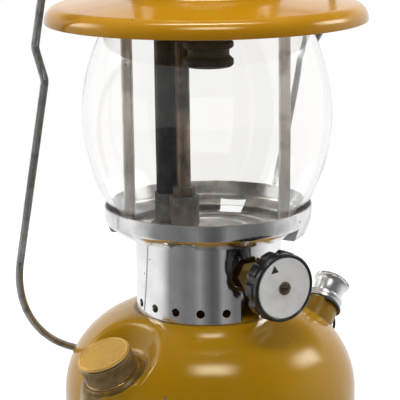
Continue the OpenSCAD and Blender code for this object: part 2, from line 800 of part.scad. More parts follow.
module tube_run(w, over) {
    bow_z = tube_bend_z + tube_turn_r;
    bent_bar([[tube_reach, floor_top + 1 - over], [tube_reach, bow_z], [-burner_off, bow_z],
              [-burner_off, burner_top - over]], [0, tube_turn_r, tube_turn_r, 0], w);
}

module mixing_tube() {
    color(soot) at_angle(burner_angle) difference() {
        rotate([90, 0, 0]) tube_run(tube_r, 0);
        rotate([90, 0, 0]) tube_run(tube_r - tube_wall, 1);
        translate([gen_reach, 0, gen_top - 1]) cylinder(d = 3, h = tube_turn_r - 6);
    }
}

module at_burner() { at_angle(burner_angle) translate([-burner_off, 0, burner_z]) children(); }

module burner_cap() {
    r = burner_d / 2;
    g = groove_d / 2;
    z1 = burner_lower_h;
    z2 = z1 + groove_h;
    z3 = z2 + burner_flange;
    z4 = z3 + burner_neck_h;
    bore_r = tube_r + seat_fit;
    mouth_r = g - 1.4;
    color(soot) at_burner() rotate_extrude() polygon([
        [mouth_r, 0], [r - 1.2, 0], [r, 1.2], [r, z1 - 1.4], [r - 1, z1 - 0.4],
        [g, z1 + 0.6], [g, z2 - 0.6], [r - 0.8, z2],
        [r, z2 + 0.8], [r, z3 - 0.8], [r - 1, z3], [bore_r + 1.5, z3], [bore_r + 1.5, z4], [bore_r, z4],
        [bore_r, z3], [tube_r - tube_wall, z3], [tube_r - tube_wall, z3 - 1.4], [mouth_r, z1 + 1]
    ]);
}

module burner_screen() {
    color(steel) at_burner() translate([0, 0, 1]) difference() {
        cylinder(r = groove_d / 2 - 1.4 - seat_fit, h = 0.8);
        for (q = [1 : 2], a = [0 : 360 / (6 * q) : 359]) rotate(a)
            translate([3.4 * q, 0, -1]) cylinder(d = 1.6, h = 3, $fn = 24);
    }
}

module upright(a) {
    inner_w = upright_w - 2 * frame_t;
    low = floor_top + clear / 4;
    color(steel) at_angle(a) translate([upright_reach - upright_w / 2, -upright_depth / 2, low]) difference() {
        cube([upright_w, upright_depth, upright_top - low]);
        translate([frame_t, frame_t, -1]) cube([inner_w, upright_depth, upright_top - low + 2]);
    }
}
module right_upright() { upright(upright_angle); }
module left_upright() { upright(upright_angle - 180); }

module frame_bridge() {
    mid = bridge_z - frame_t / 2;
    x = bridge_leg_r - seat_fit;
    color(steel) at_angle(upright_angle) difference() {
        translate([0, bridge_w / 2, 0]) rotate([90, 0, 0]) linear_extrude(bridge_w) sheet_section(
            [[x, bridge_leg_low], [x, upright_top - 1], [bridge_flat, mid], [-bridge_flat, mid],
             [-x, upright_top - 1], [-x, bridge_leg_low]],
            [0, bridge_bend, bridge_bend, bridge_bend, bridge_bend, 0], frame_t);
        translate([0, 0, bridge_z - 3 * frame_t]) cylinder(d = stud_d + 2 * seat_fit, h = 6 * frame_t);
    }
}

module frame_stud() {
    color(steel) union() {
        translate([0, 0, bridge_z - frame_t - stud_head_t])
            cylinder(d = stud_d + 4, h = stud_head_t, $fn = 6);
        translate([0, 0, bridge_z - frame_t - eps])
            cylinder(d = stud_d, h = crown_top_z + vent_t + 10 - bridge_z);
    }
}

module heat_baffle() {
    z = bridge_z + seat_fit + baffle_t / 2;
    hole_r = stud_d / 2 + seat_fit;
    color(steel) rotate_extrude() sheet_section(
        [[hole_r, z], [baffle_r - baffle_edge, z], [baffle_r, z - baffle_dip]], [0, 2, 0], baffle_t);
}

module baffle_nut() {
    color(steel) translate([0, 0, bridge_z + baffle_t + 2 * seat_fit]) difference() {
        cylinder(d = (stud_d + 4) / cos(30), h = 4.5, $fn = 6);
        translate([0, 0, -1]) cylinder(d = stud_d + 2 * seat_fit, h = 7);
    }
}

module globe() {
    mid_r = globe_d / 2 - glass_t / 2;
    end_r = lip_r - glass_t / 2;
    half = globe_h / 2 - lip_h;
    slope = 31.5;
    peak_r = end_r + half * tan(slope);
    belly_r = (peak_r - mid_r) / (1 / cos(slope) - 1);
    zm = globe_low + globe_h / 2;
    color(glass) rotate_extrude() sheet_section(
        [[end_r, globe_low], [end_r, zm - half], [peak_r, zm], [end_r, zm + half], [end_r, globe_top]],
        [0, 10, belly_r, 10, 0], glass_t);
}

module ventilator() {
    edge_r = (brim_d - vent_t) / 2;
    base_r = (crown_d - vent_t) / 2;
    top_r = (crown_top_d - vent_t) / 2;
    slot_z = pivot_z - slot_down;
    slot_x = crown_d / 2 - slot_in;
    color(enamel) difference() {
        rotate_extrude() sheet_section(
            [[edge_r, brim_low], [edge_r, brim_edge_z - vent_t / 2], [base_r, crown_base_z - vent_t / 2],
             [top_r, crown_top_z - vent_t / 2], [stud_d / 2 + clear, crown_top_z - vent_t / 2]],
            [0, brim_round, crown_round, crown_round, 0], vent_t);
        translate([-crown_d, 0, pivot_z]) rotate([0, 90, 0])
            cylinder(d = bail_wire + 2 * run_fit, h = 2 * crown_d);
        for (i = [0 : vent_slots - 1]) rotate([0, 0, 360 * (i + 0.5) / vent_slots]) {
            for (s = [-1, 1]) translate([slot_x, 0, slot_z + s * slot_half]) rotate([0, 90, 0])
                cylinder(d = slot_d, h = 1.5 * slot_in);
            translate([slot_x, -slot_d / 2, slot_z - slot_half]) cube([1.5 * slot_in, slot_d, 2 * slot_half]);
        }
    }
}

module ball_nut() {
    seat_z = crown_top_z;
    r = ball_d / 2;
    color(nickel) translate([0, 0, seat_z]) difference() {
        union() {
            cylinder(d = ball_d * 0.9, h = 2);
            cylinder(d = ball_d * 0.62, h = 5);
            translate([0, 0, 3 + r * 0.8]) sphere(r);
        }
        translate([0, 0, -2 * ball_d]) cylinder(r = ball_d, h = 2 * ball_d);
        translate([0, 0, -1]) cylinder(d = stud_d + 2 * seat_fit, h = 12);
    }
}

module bail() {
    w = bail_top_w;
    l = bail_leg_w;
    k = kink_start;
    m = kink_start + kink_len;
    color(steel) translate([0, 0, pivot_z]) rotate([bail_rest, 0, 0]) {
        rotate([90, 0, 0]) bent_bar(
            [[-pin_in, 0], [-w, 0], [-w, -k], [-l, -m], [-l, -bail_len],
             [l, -bail_len], [l, -m], [w, -k], [w, 0], [pin_in, 0]],
            [0, 7, 9, 9, bail_corner_r, bail_corner_r, 9, 9, 7, 0], wire_r);
        for (side = [-1, 1]) translate([side * (pin_in + pin_head_t / 2), 0, 0]) rotate([0, 90, 0])
            translate([0, 0, -pin_head_t / 2]) cylinder(r = wire_r + 1.2, h = pin_head_t);
    }
}

fount_shell();
base_pan();
valve_bush();
pickup_tube();
filler_neck();
filler_gasket();
filler_cap();
pump_barrel();
pump_cap();
pump_clip();
check_valve();
air_stem();
pump_rod();
pump_cup();
cup_retainer();
pump_knob();
valve_body();
stem_packing();
packing_nut();
valve_stem();
valve_wheel();
wheel_disc();
wheel_screw();
generator();
generator_nut();
cleaning_needle();
collar();
globe_rest();
burner_base();
mixing_tube();
burner_cap();
burner_screen();
right_upright();
left_upright();
frame_bridge();
frame_stud();
heat_baffle();
baffle_nut();
globe();
ventilator();
ball_nut();
bail();
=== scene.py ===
import json
import math
import bmesh
import bpy
from mathutils import Matrix, Vector


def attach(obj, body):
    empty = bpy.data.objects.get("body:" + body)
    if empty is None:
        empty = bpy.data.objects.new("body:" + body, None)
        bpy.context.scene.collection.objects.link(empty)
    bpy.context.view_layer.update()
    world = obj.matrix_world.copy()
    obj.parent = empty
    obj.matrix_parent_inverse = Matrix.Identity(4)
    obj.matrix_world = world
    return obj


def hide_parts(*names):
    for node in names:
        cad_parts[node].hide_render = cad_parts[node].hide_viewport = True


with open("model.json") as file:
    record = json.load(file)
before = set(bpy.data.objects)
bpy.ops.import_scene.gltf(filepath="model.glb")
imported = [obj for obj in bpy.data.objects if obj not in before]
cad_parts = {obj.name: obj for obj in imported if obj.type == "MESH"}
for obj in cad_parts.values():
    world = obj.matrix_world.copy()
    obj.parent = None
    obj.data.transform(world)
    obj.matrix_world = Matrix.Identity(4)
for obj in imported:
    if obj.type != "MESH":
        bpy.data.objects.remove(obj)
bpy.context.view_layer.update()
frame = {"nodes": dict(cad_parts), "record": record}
nodes = frame["nodes"]
print("frame loaded:", len(nodes), "nodes")

mm = 0.001

# Camera: a long lens, a little above the globe, looking down on the fount
cameraSettings = {
    "azimuth": -33.0, "pitch": 12.6, "roll": 0.7, "away": 0.867,
    "height": 0.340, "side": -0.0042, "lens": 154.35, "sensor": 36, "nearest": 0.01,
}


def sideways(azimuth):
    # unit vectors to the right of a camera at this azimuth, and from the lantern to the camera
    a = math.radians(azimuth)
    return Vector((math.cos(a), math.sin(a), 0)), Vector((math.sin(a), -math.cos(a), 0))


def addCamera(s):
    right, back = sideways(s["azimuth"])
    pitch = math.radians(s["pitch"])
    roll = math.radians(s["roll"])
    look = -back * math.cos(pitch) + Vector((0, 0, -math.sin(pitch)))
    up = right.cross(look)
    rolledRight = right * math.cos(roll) - up * math.sin(roll)
    rolledUp = right * math.sin(roll) + up * math.cos(roll)
    place = back * s["away"] + right * s["side"] + Vector((0, 0, s["height"]))
    data = bpy.data.cameras.new("studioCamera")
    data.lens = s["lens"]
    data.sensor_width = s["sensor"]
    data.clip_start = s["nearest"]
    cam = bpy.data.objects.new("studioCamera", data)
    bpy.context.scene.collection.objects.link(cam)
    turnTo = Matrix((rolledRight, rolledUp, -look)).transposed()
    cam.matrix_world = Matrix.Translation(place) @ turnTo.to_4x4()
    bpy.context.scene.camera = cam


addCamera(cameraSettings)
bpy.context.scene.view_settings.view_transform = "Standard"
print("camera placed")


# Where the fittings stand
def moved(x, y, z):
    return Matrix.Translation(Vector((x, y, z)) * mm)


def spun(angle, axis="Z"):
    return Matrix.Rotation(math.radians(angle), 4, axis)


def compass(angle):
    # the lantern's own bearings: 0 is the valve wheel, 90 the right hand side
    return spun(angle - 90)


fillerPlace = compass(-81) @ moved(66.7, 0, 67.0) @ spun(24, "Y")
pumpPlace = compass(76) @ moved(64.5, 0, 83.6) @ spun(37) @ spun(47, "Y")
valvePlace = moved(0, 0, 114.0) @ spun(90, "X")
burnerPlace = compass(-168) @ moved(-1.5, 0, 216.0)


# Node helpers, used by the world and by every finish
def link(tree, a, b):
    tree.links.new(a, b)


def node(tree, kind, **inputs):
    n = tree.nodes.new(kind)
    for key, value in inputs.items():
        if key in n.inputs:
            n.inputs[key].default_value = value
        else:
            setattr(n, key, value)
    return n


def feed(tree, socket, value):
    # a number is set on the socket, another socket is linked to it
    if isinstance(value, (int, float)):
        socket.default_value = value
    else:
        link(tree, value, socket)


def sums(tree, operation, a, b=0.0):
    # one Math node; a and b are numbers or sockets
    n = node(tree, "ShaderNodeMath", operation=operation)
    for socket, value in zip(n.inputs, (a, b)):
        feed(tree, socket, value)
    return n.outputs[0]


def span(tree, value, low, high, out=(0.0, 1.0)):
    # value from low..high to out with soft ends, low and high being numbers or sockets
    n = node(tree, "ShaderNodeMapRange", interpolation_type="SMOOTHSTEP")
    for key, v in (("Value", value), ("From Min", low), ("From Max", high)):
        feed(tree, n.inputs[key], v)
    n.inputs["To Min"].default_value, n.inputs["To Max"].default_value = out
    return n.outputs[0]


# Light: white paper behind and beside the lantern, a dimmer room in front, long soft boxes above
softBoxes = {
    "stripNear": {"at": (-0.29, -0.52, 1.23), "aim": (0, 0, 0.20), "size": (0.86, 0.46), "power": 18},
    "stripFar": {"at": (0.04, 0.06, 1.35), "aim": (0, 0, 0.20), "size": (1.0, 0.22), "power": 18},
    "rightBox": {"at": (1.13, -0.37, 0.82), "aim": (0, 0, 0.15), "size": (0.5, 0.9), "power": 14},
    "leftBox": {"at": (-0.84, 0.90, 0.85), "aim": (0, 0, 0.15), "size": (0.7, 0.9), "power": 15},
    "backBox": {"at": (0.426, 0.656, 1.13), "aim": (0, 0, 0.10), "size": (0.30, 0.20), "power": 5},
}


def fadeEdges(data):
    # the light of a box falls off from its middle to its edges
    data.use_nodes = True
    t = data.node_tree
    split = node(t, "ShaderNodeSeparateXYZ")
    link(t, node(t, "ShaderNodeNewGeometry").outputs["Parametric"], split.inputs[0])
    level = 1.0
    half = 0.5
    evenPart = 0.12
    for part in ("X", "Y"):
        off = sums(t, "ABSOLUTE", sums(t, "SUBTRACT", split.outputs[part], half))
        level = sums(t, "MULTIPLY", span(t, off, half, evenPart), level)
    link(t, level, t.nodes["Emission"].inputs["Strength"])


def addSoftBox(name, s):
    right = sideways(cameraSettings["azimuth"])[0]
    data = bpy.data.lights.new(name, "AREA")
    data.shape = "RECTANGLE"
    data.size, data.size_y = s["size"]
    data.energy = s["power"]
    fadeEdges(data)
    lamp = bpy.data.objects.new(name, data)
    bpy.context.scene.collection.objects.link(lamp)
    place = Vector(s["at"])
    away = (place - Vector(s["aim"])).normalized()
    wide = (right - away * right.dot(away)).normalized()
    turnTo = Matrix((wide, away.cross(wide), away)).transposed()
    lamp.matrix_world = Matrix.Translation(place) @ turnTo.to_4x4()


for boxName, settings in softBoxes.items():
    addSoftBox(boxName, settings)

room = {
    "low": 1.10, "high": 1.60,      # light on matt surfaces, from the horizon up to straight above
    "fillLow": -0.1, "fillHigh": 1.0,
    "ceilingLow": 0.32, "ceilingHigh": 0.47, "ceiling": 0.14,
    # brightness round the lantern: degrees to the right of the camera
    "steps": ((-90, 1.0), (-76, 0.85), (-62, 0.27), (-36, 0.18), (-24, 0.20), (-14, 0.30), (-5, 0.16),
              (4, 0.09), (13, 0.12), (20, 0.30), (28, 0.27), (36, 0.16), (60, 0.18), (84, 0.65), (108, 1.0)),
}


def roomLevel(t, vector, s):
    # what a polished surface sees in a direction: white paper all round, a dimmer banded room in front
    shares = []
    for axis in sideways(cameraSettings["azimuth"]):
        along = node(t, "ShaderNodeVectorMath", operation="DOT_PRODUCT")
        along.inputs[1].default_value = axis
        link(t, vector, along.inputs[0])
        shares.append(along.outputs["Value"])
    angle = sums(t, "ARCTAN2", *shares)
    ramp = node(t, "ShaderNodeValToRGB")
    marks = ramp.color_ramp.elements
    while len(marks) < len(s["steps"]):
        marks.new(0.5)
    for mark, (degrees, level) in zip(marks, s["steps"]):
        mark.position = 0.5 + degrees / 360
        mark.color = (level, level, level * 1.02, 1)
    link(t, sums(t, "ADD", sums(t, "MULTIPLY", angle, 0.5 / math.pi), 0.5), ramp.inputs[0])
    return ramp.outputs[0]


def heightLevel(t, vector, low, high, out):
    split = node(t, "ShaderNodeSeparateXYZ")
    link(t, vector, split.inputs[0])
    return span(t, split.outputs["Z"], low, high, out)


def buildWorld(s):
    w = bpy.data.worlds.new("studioWorld")
    bpy.context.scene.world = w
    w.use_nodes = True
    t = w.node_tree
    t.nodes.clear()
    outwards = node(t, "ShaderNodeTexCoord").outputs["Generated"]
    white = node(t, "ShaderNodeBackground", Color=(1, 1, 1, 1), Strength=1.0)
    mirrored = node(t, "ShaderNodeBackground")
    link(t, roomLevel(t, outwards, s), mirrored.inputs["Color"])
    overhead = heightLevel(t, outwards, s["ceilingLow"], s["ceilingHigh"], (1.0, s["ceiling"]))
    link(t, overhead, mirrored.inputs["Strength"])
    fill = node(t, "ShaderNodeBackground")
    link(t, roomLevel(t, outwards, s), fill.inputs["Color"])
    allRound = heightLevel(t, outwards, s["fillLow"], s["fillHigh"], (s["low"], s["high"]))
    link(t, allRound, fill.inputs["Strength"])
    path = node(t, "ShaderNodeLightPath")
    seen = sums(t, "MAXIMUM", path.outputs["Is Camera Ray"], path.outputs["Is Transmission Ray"])
    glossy = node(t, "ShaderNodeMixShader")
    link(t, path.outputs["Is Glossy Ray"], glossy.inputs[0])
    link(t, fill.outputs[0], glossy.inputs[1])
    link(t, mirrored.outputs[0], glossy.inputs[2])
    final = node(t, "ShaderNodeMixShader")
    link(t, seen, final.inputs[0])
    link(t, glossy.outputs[0], final.inputs[1])
    link(t, white.outputs[0], final.inputs[2])
    link(t, final.outputs[0], node(t, "ShaderNodeOutputWorld").inputs[0])


buildWorld(room)
print("light set")


def clearSelection():
    if bpy.context.object and bpy.context.object.mode != "OBJECT":
        bpy.ops.object.mode_set(mode="OBJECT")
    bpy.ops.object.select_all(action="DESELECT")


def makeActive(obj):
    clearSelection()
    obj.select_set(True)
    bpy.context.view_layer.objects.active = obj


# Floor: a white table top whose far edge shows as a faint line behind the lantern
floorSettings = {
    "reach": 0.60, "width": 2.2, "near": 1.6, "corner": 0.06, "drop": 0.0002,
    "tone": (0.93, 0.93, 0.925), "bounce": (0.42, 0.42, 0.415), "glow": 0.62, "white": 0.985,
}


def addFloor(s):
    back = sideways(cameraSettings["azimuth"])[1]
    clearSelection()
    bpy.ops.mesh.primitive_plane_add(size=1, location=(0, 0, 0))
    floor = bpy.context.object
    floor.name = "tableTop"
    bpy.ops.object.mode_set(mode="EDIT")
    bpy.ops.mesh.select_all(action="SELECT")
    bpy.ops.mesh.bevel(affect="VERTICES", offset=s["corner"], segments=6)
    bpy.ops.object.mode_set(mode="OBJECT")
    floor.scale = (s["width"], s["near"] + s["reach"], 1)
    floor.rotation_euler = (0, 0, math.radians(cameraSettings["azimuth"]))
    floor.location = back * (s["near"] - s["reach"]) / 2 - Vector((0, 0, s["drop"]))
    bpy.ops.object.transform_apply(location=True, rotation=True, scale=True)
    m = bpy.data.materials.new("whiteTable")
    m.use_nodes = True
    t = m.node_tree
    t.nodes.clear()
    path = node(t, "ShaderNodeLightPath")
    seen = sums(t, "MAXIMUM", path.outputs["Is Camera Ray"], path.outputs["Is Transmission Ray"])
    shade = node(t, "ShaderNodeMix", data_type="RGBA")
    shade.inputs[6].default_value = (*s["bounce"], 1)
    shade.inputs[7].default_value = (*s["tone"], 1)
    link(t, seen, shade.inputs["Factor"])
    matt = node(t, "ShaderNodeBsdfDiffuse")
    link(t, shade.outputs[2], matt.inputs["Color"])
    glow = node(t, "ShaderNodeEmission", Color=(1, 1, 1, 1), Strength=s["white"])
    shown = node(t, "ShaderNodeMixShader")
    link(t, sums(t, "MULTIPLY", seen, s["glow"]), shown.inputs[0])
    link(t, matt.outputs[0], shown.inputs[1])
    link(t, glow.outputs[0], shown.inputs[2])
    outwards = node(t, "ShaderNodeVectorMath", operation="NORMALIZE")
    link(t, node(t, "ShaderNodeTexCoord").outputs["Object"], outwards.inputs[0])
    mirrored = node(t, "ShaderNodeEmission")
    link(t, roomLevel(t, outwards.outputs[0], room), mirrored.inputs["Color"])
    final = node(t, "ShaderNodeMixShader")
    link(t, path.outputs["Is Glossy Ray"], final.inputs[0])
    link(t, shown.outputs[0], final.inputs[1])
    link(t, mirrored.outputs[0], final.inputs[2])
    link(t, final.outputs[0], node(t, "ShaderNodeOutputMaterial").inputs[0])
    floor.data.materials.append(m)


addFloor(floorSettings)
print("floor laid")


# Shared effects, each one group with named sockets
def newGroup(name, inputs, output):
    g = bpy.data.node_groups.new(name, "ShaderNodeTree")
    g.interface.new_socket(name="Vector", in_out="INPUT", socket_type="NodeSocketVector")
    for socket, value in inputs.items():
        kind = "NodeSocketVector" if isinstance(value, tuple) else "NodeSocketFloat"
        s = g.interface.new_socket(name=socket, in_out="INPUT", socket_type=kind)
        s.default_value = value
    g.interface.new_socket(name=output, in_out="OUTPUT", socket_type="NodeSocketFloat")
    return g, g.nodes.new("NodeGroupInput").outputs, g.nodes.new("NodeGroupOutput").inputs


def noise(tree, vector, scale, detail=3.0, rough=0.55):
    n = node(tree, "ShaderNodeTexNoise", Detail=detail, Roughness=rough)
    link(tree, vector, n.inputs["Vector"])
    feed(tree, n.inputs["Scale"], scale)
    return n.outputs["Fac"]


def buildSpecks():
    # small ragged chips and specks scattered over a finish
    g, gin, gout = newGroup("scatteredSpecks", {"Scale": 400.0, "Size": 0.2, "Share": 0.1}, "Mask")
    cells = node(g, "ShaderNodeTexVoronoi")
    link(g, gin["Vector"], cells.inputs["Vector"])
    link(g, gin["Scale"], cells.inputs["Scale"])
    split = node(g, "ShaderNodeSeparateColor")
    link(g, cells.outputs["Color"], split.inputs[0])
    chosen = sums(g, "LESS_THAN", split.outputs[0], gin["Share"])
    ragged = noise(g, gin["Vector"], sums(g, "MULTIPLY", gin["Scale"], 2.5), 2.0)
    place = sums(g, "ADD", cells.outputs["Distance"], sums(g, "MULTIPLY", ragged, 0.35))
    reach = sums(g, "ADD", sums(g, "MULTIPLY", split.outputs[1], gin["Size"]), 0.17)
    link(g, sums(g, "MULTIPLY", chosen, sums(g, "LESS_THAN", place, reach)), gout["Mask"])
    return g


def buildLines():
    # fine lines along one direction, from rolling, brushing or drawing
    g, gin, gout = newGroup("drawnLines", {"Stretch": (900.0, 900.0, 20.0), "Contrast": 1.0}, "Value")
    scaled = node(g, "ShaderNodeVectorMath", operation="MULTIPLY")
    link(g, gin["Vector"], scaled.inputs[0])
    link(g, gin["Stretch"], scaled.inputs[1])
    lines = sums(g, "SUBTRACT", noise(g, scaled.outputs[0], 1.0, 4.0, 0.6), 0.5)
    link(g, sums(g, "ADD", sums(g, "MULTIPLY", lines, gin["Contrast"]), 0.5), gout["Value"])
    return g


def buildStain():
    # soft patches of tarnish, soot or fading
    g, gin, gout = newGroup("softStain", {"Scale": 40.0, "Low": 0.4, "High": 0.7}, "Mask")
    patches = noise(g, gin["Vector"], gin["Scale"], 5.0)
    link(g, span(g, patches, gin["Low"], gin["High"]), gout["Mask"])
    return g


specksGroup = buildSpecks()
linesGroup = buildLines()
stainGroup = buildStain()


def placeGroup(tree, group, vector, **values):
    n = tree.nodes.new("ShaderNodeGroup")
    n.node_tree = group
    link(tree, vector, n.inputs["Vector"])
    for key, value in values.items():
        n.inputs[key].default_value = value
    return n.outputs[0]


def mixColour(tree, mask, under, over):
    # mask is a number or a socket, under and over are colours or sockets
    m = node(tree, "ShaderNodeMix", data_type="RGBA")
    feed(tree, m.inputs["Factor"], mask)
    for socket, value in ((m.inputs[6], under), (m.inputs[7], over)):
        if isinstance(value, tuple):
            socket.default_value = (*value, 1)
        else:
            link(tree, value, socket)
    return m.outputs[2]


def startMaterial(name, **sockets):
    m = bpy.data.materials.new(name)
    m.use_nodes = True
    t = m.node_tree
    b = t.nodes["Principled BSDF"]
    for key, value in sockets.items():
        s = b.inputs[key.replace("_", " ")]
        s.default_value = (*value, 1) if isinstance(value, tuple) else value
    return m, t, b, node(t, "ShaderNodeTexCoord").outputs["Object"]


def addBump(tree, b, height, strength, distance):
    n = node(tree, "ShaderNodeBump", Strength=strength, Distance=distance)
    link(tree, height, n.inputs["Height"])
    link(tree, n.outputs[0], b.inputs["Normal"])


def grimeAndShadeRing(tree, vector, ring):
    # a ring between two distances from an axis, fading to nothing on both sides, at one height along it only:
    # where the dark rings of grime and painted shade go round the fittings
    away = node(tree, "ShaderNodeVectorMath", operation="SUBTRACT")
    link(tree, vector, away.inputs[0])
    away.inputs[1].default_value = ring["place"].translation
    axis = (ring["place"].to_3x3() @ Vector((0, 0, 1))).normalized()
    across = node(tree, "ShaderNodeVectorMath", operation="CROSS_PRODUCT")
    along = node(tree, "ShaderNodeVectorMath", operation="DOT_PRODUCT")
    for n in (across, along):
        link(tree, away.outputs[0], n.inputs[0])
        n.inputs[1].default_value = axis
    far = node(tree, "ShaderNodeVectorMath", operation="LENGTH")
    link(tree, across.outputs[0], far.inputs[0])
    inner, full, outer = (v * mm for v in ring["reach"])
    inside = sums(tree, "MULTIPLY", span(tree, far.outputs["Value"], inner, full),
                  span(tree, far.outputs["Value"], full, outer, (1.0, 0.0)))
    level = sums(tree, "ABSOLUTE", along.outputs["Value"])
    depth = ring["depth"] * mm
    return sums(tree, "MULTIPLY", inside, span(tree, level, depth / 2, depth, (1.0, 0.0)))


def enamelFinish(name, s):
    # baked enamel: faded patches, fine dark specks, a few chips down to the primer, and dark rings round the
    # fittings that are partly grime and partly painted shade in their hollows and creases
    m, t, b, c = startMaterial(name, Metallic=0.0, Specular_IOR_Level=s["specular"], Specular_Tint=s["shine"])
    fade = placeGroup(t, stainGroup, c, Scale=s["fadeScale"], Low=0.35, High=0.72)
    tone = mixColour(t, fade, s["paint"], s["faded"])
    mottle = noise(t, c, 900.0, 2.0)
    tone = mixColour(t, sums(t, "MULTIPLY", mottle, 0.10), tone, s["deep"])
    fine = placeGroup(t, specksGroup, c, Scale=s["speckScale"], Size=0.22, Share=s["speckShare"])
    tone = mixColour(t, fine, tone, s["speck"])
    chips = placeGroup(t, specksGroup, c, Scale=s["speckScale"] * 0.42, Size=0.16, Share=s["chipShare"])
    tone = mixColour(t, chips, tone, s["bare"])
    rough = span(t, fade, 0, 1, (s["rough"], s["rough"] + 0.05))
    # the dark rings are partly grime and partly painted shade, in the filler's recess, at the collar's foot
    # and round the pump socket
    for ring in s["grimeAndShade"]:
        uneven = span(t, noise(t, c, 150.0, 3.0), 0.3, 0.6, (0.45, 1.0))
        dirtAndShade = sums(t, "MULTIPLY", grimeAndShadeRing(t, c, ring), uneven)
        tone = mixColour(t, sums(t, "MULTIPLY", dirtAndShade, ring["share"]), tone, s["dirtAndShade"])
        rough = sums(t, "ADD", rough, sums(t, "MULTIPLY", dirtAndShade, 0.25))
    link(t, tone, b.inputs["Base Color"])
    link(t, rough, b.inputs["Roughness"])
    ripple = sums(t, "ADD", noise(t, c, 60.0, 2.0), sums(t, "MULTIPLY", chips, -0.3))
    addBump(t, b, ripple, s["ripple"], 0.002)
    return m


def metalFinish(name, s):
    # worked metal: drawn lines, tarnish in patches, and specks of dirt where the piece has them
    m, t, b, c = startMaterial(name, Metallic=s.get("metal", 1.0), Specular_IOR_Level=s.get("specular", 0.5))
    lines = placeGroup(t, linesGroup, c, Stretch=s["stretch"], Contrast=s.get("contrast", 1.0))
    tarnish = placeGroup(t, stainGroup, c, Scale=s["stainScale"],
                         Low=s.get("low", 0.42), High=s.get("high", 0.72))
    tone = mixColour(t, tarnish, s["bright"], s["dull"])
    tone = mixColour(t, sums(t, "MULTIPLY", lines, s.get("lineShare", 0.4)), tone, s.get("line", s["dull"]))
    if "speck" in s:
        specks = placeGroup(t, specksGroup, c, Scale=s["speckScale"], Size=0.25, Share=s["speckShare"])
        tone = mixColour(t, specks, tone, s["speck"])
    if "groove" in s:
        raised = node(t, "ShaderNodeNewGeometry").outputs["Pointiness"]
        tone = mixColour(t, span(t, raised, 0.42, 0.52, (1.0, 0.0)), tone, s["groove"])
    link(t, tone, b.inputs["Base Color"])
    worn = span(t, tarnish, 0, 1, (s["rough"], s["rough"] + s.get("stainRough", 0.15)))
    link(t, sums(t, "ADD", worn, sums(t, "MULTIPLY", lines, s.get("lineRough", 0.12))), b.inputs["Roughness"])
    addBump(t, b, lines, s.get("bump", 0.08), s.get("bumpDepth", 0.0004))
    return m


def mattFinish(name, s):
    # rubber, leather, phenolic and paint on metal: mottled tone with scuffs and a fine grain
    m, t, b, c = startMaterial(name, Metallic=0.0, Specular_IOR_Level=s.get("specular", 0.5))
    patch = placeGroup(t, stainGroup, c, Scale=s["stainScale"], Low=0.4, High=0.75)
    tone = mixColour(t, patch, s["deep"], s["worn"])
    scuffs = placeGroup(t, specksGroup, c, Scale=s["speckScale"], Size=0.2, Share=s["speckShare"])
    tone = mixColour(t, scuffs, tone, s["scuff"])
    link(t, tone, b.inputs["Base Color"])
    link(t, span(t, patch, 0, 1, (s["rough"], s["rough"] + 0.15)), b.inputs["Roughness"])
    addBump(t, b, noise(t, c, s["grain"], 3.0), s.get("bump", 0.1), 0.0004)
    return m


def glassFinish(name, s):
    # blown glass: a faint warm body tint, slow waves in the surface, dust and tiny seeds
    m, t, b, c = startMaterial(name, Metallic=0.0, Transmission_Weight=1.0, IOR=1.46)
    film = placeGroup(t, stainGroup, c, Scale=s["filmScale"], Low=0.45, High=0.8)
    tone = mixColour(t, film, s["clear"], s["film"])
    seeds = placeGroup(t, specksGroup, c, Scale=s["seedScale"], Size=0.1, Share=s["seedShare"])
    tone = mixColour(t, seeds, tone, s["seed"])
    link(t, tone, b.inputs["Base Color"])
    link(t, sums(t, "ADD", span(t, film, 0, 1, (0.0, s["filmRough"])), sums(t, "MULTIPLY", seeds, 0.25)),
         b.inputs["Roughness"])
    addBump(t, b, noise(t, c, s["waveScale"], 1.0), s["wave"], 0.002)
    return m


def castingFinish(name, s):
    # iron and brass in the flame: scale and soot over the metal, rough and nearly matt
    m, t, b, c = startMaterial(name, Metallic=s.get("metal", 0.35))
    soot = placeGroup(t, stainGroup, c, Scale=s["sootScale"], Low=0.32, High=0.66)
    tone = mixColour(t, soot, s["scale"], s["soot"])
    grit = noise(t, c, s["grit"], 4.0, 0.65)
    tone = mixColour(t, span(t, grit, 0.56, 0.72), tone, s["ash"])
    link(t, tone, b.inputs["Base Color"])
    link(t, span(t, soot, 0, 1, (s["rough"], s["rough"] + 0.2)), b.inputs["Roughness"])
    addBump(t, b, grit, s.get("bump", 0.35), 0.0006)
    return m


enamelLook = {
    "paint": (0.325, 0.166, 0.0030), "faded": (0.355, 0.187, 0.0060), "deep": (0.17, 0.070, 0.001),
    "speck": (0.06, 0.03, 0.008), "bare": (0.16, 0.12, 0.07),
    "rough": 0.13, "specular": 0.40, "shine": (1.0, 0.90, 0.62), "ripple": 0.05,
    # colour of the dark rings below, partly grime and partly painted shade in the filler's recess, at the
    # collar's foot and round the pump socket
    "dirtAndShade": (0.055, 0.036, 0.012),
    "grimeAndShade": ({"place": fillerPlace, "reach": (9.0, 16.5, 20.5), "depth": 9.0, "share": 0.85},
              {"place": moved(0, 0, 90.4), "reach": (36.0, 38.2, 40.6), "depth": 4.0, "share": 0.8},
              {"place": pumpPlace @ moved(0, 0, -9), "reach": (8.0, 9.8, 13.5), "depth": 14.0, "share": 0.6}),
    "fadeScale": 22.0, "speckScale": 420.0, "speckShare": 0.045, "chipShare": 0.020,
}
hoodLook = dict(enamelLook, paint=(0.335, 0.152, 0.0030), faded=(0.365, 0.178, 0.0070), grimeAndShade=())
collarLook = {
    "bright": (0.93, 0.93, 0.92), "dull": (0.76, 0.76, 0.75), "line": (0.62, 0.62, 0.61), "lineShare": 0.25,
    "stretch": (420.0, 420.0, 9.0), "stainScale": 34.0, "rough": 0.06, "stainRough": 0.04, "lineRough": 0.04,
    "bump": 0.012, "speck": (0.18, 0.17, 0.15), "speckScale": 420.0, "speckShare": 0.012,
}
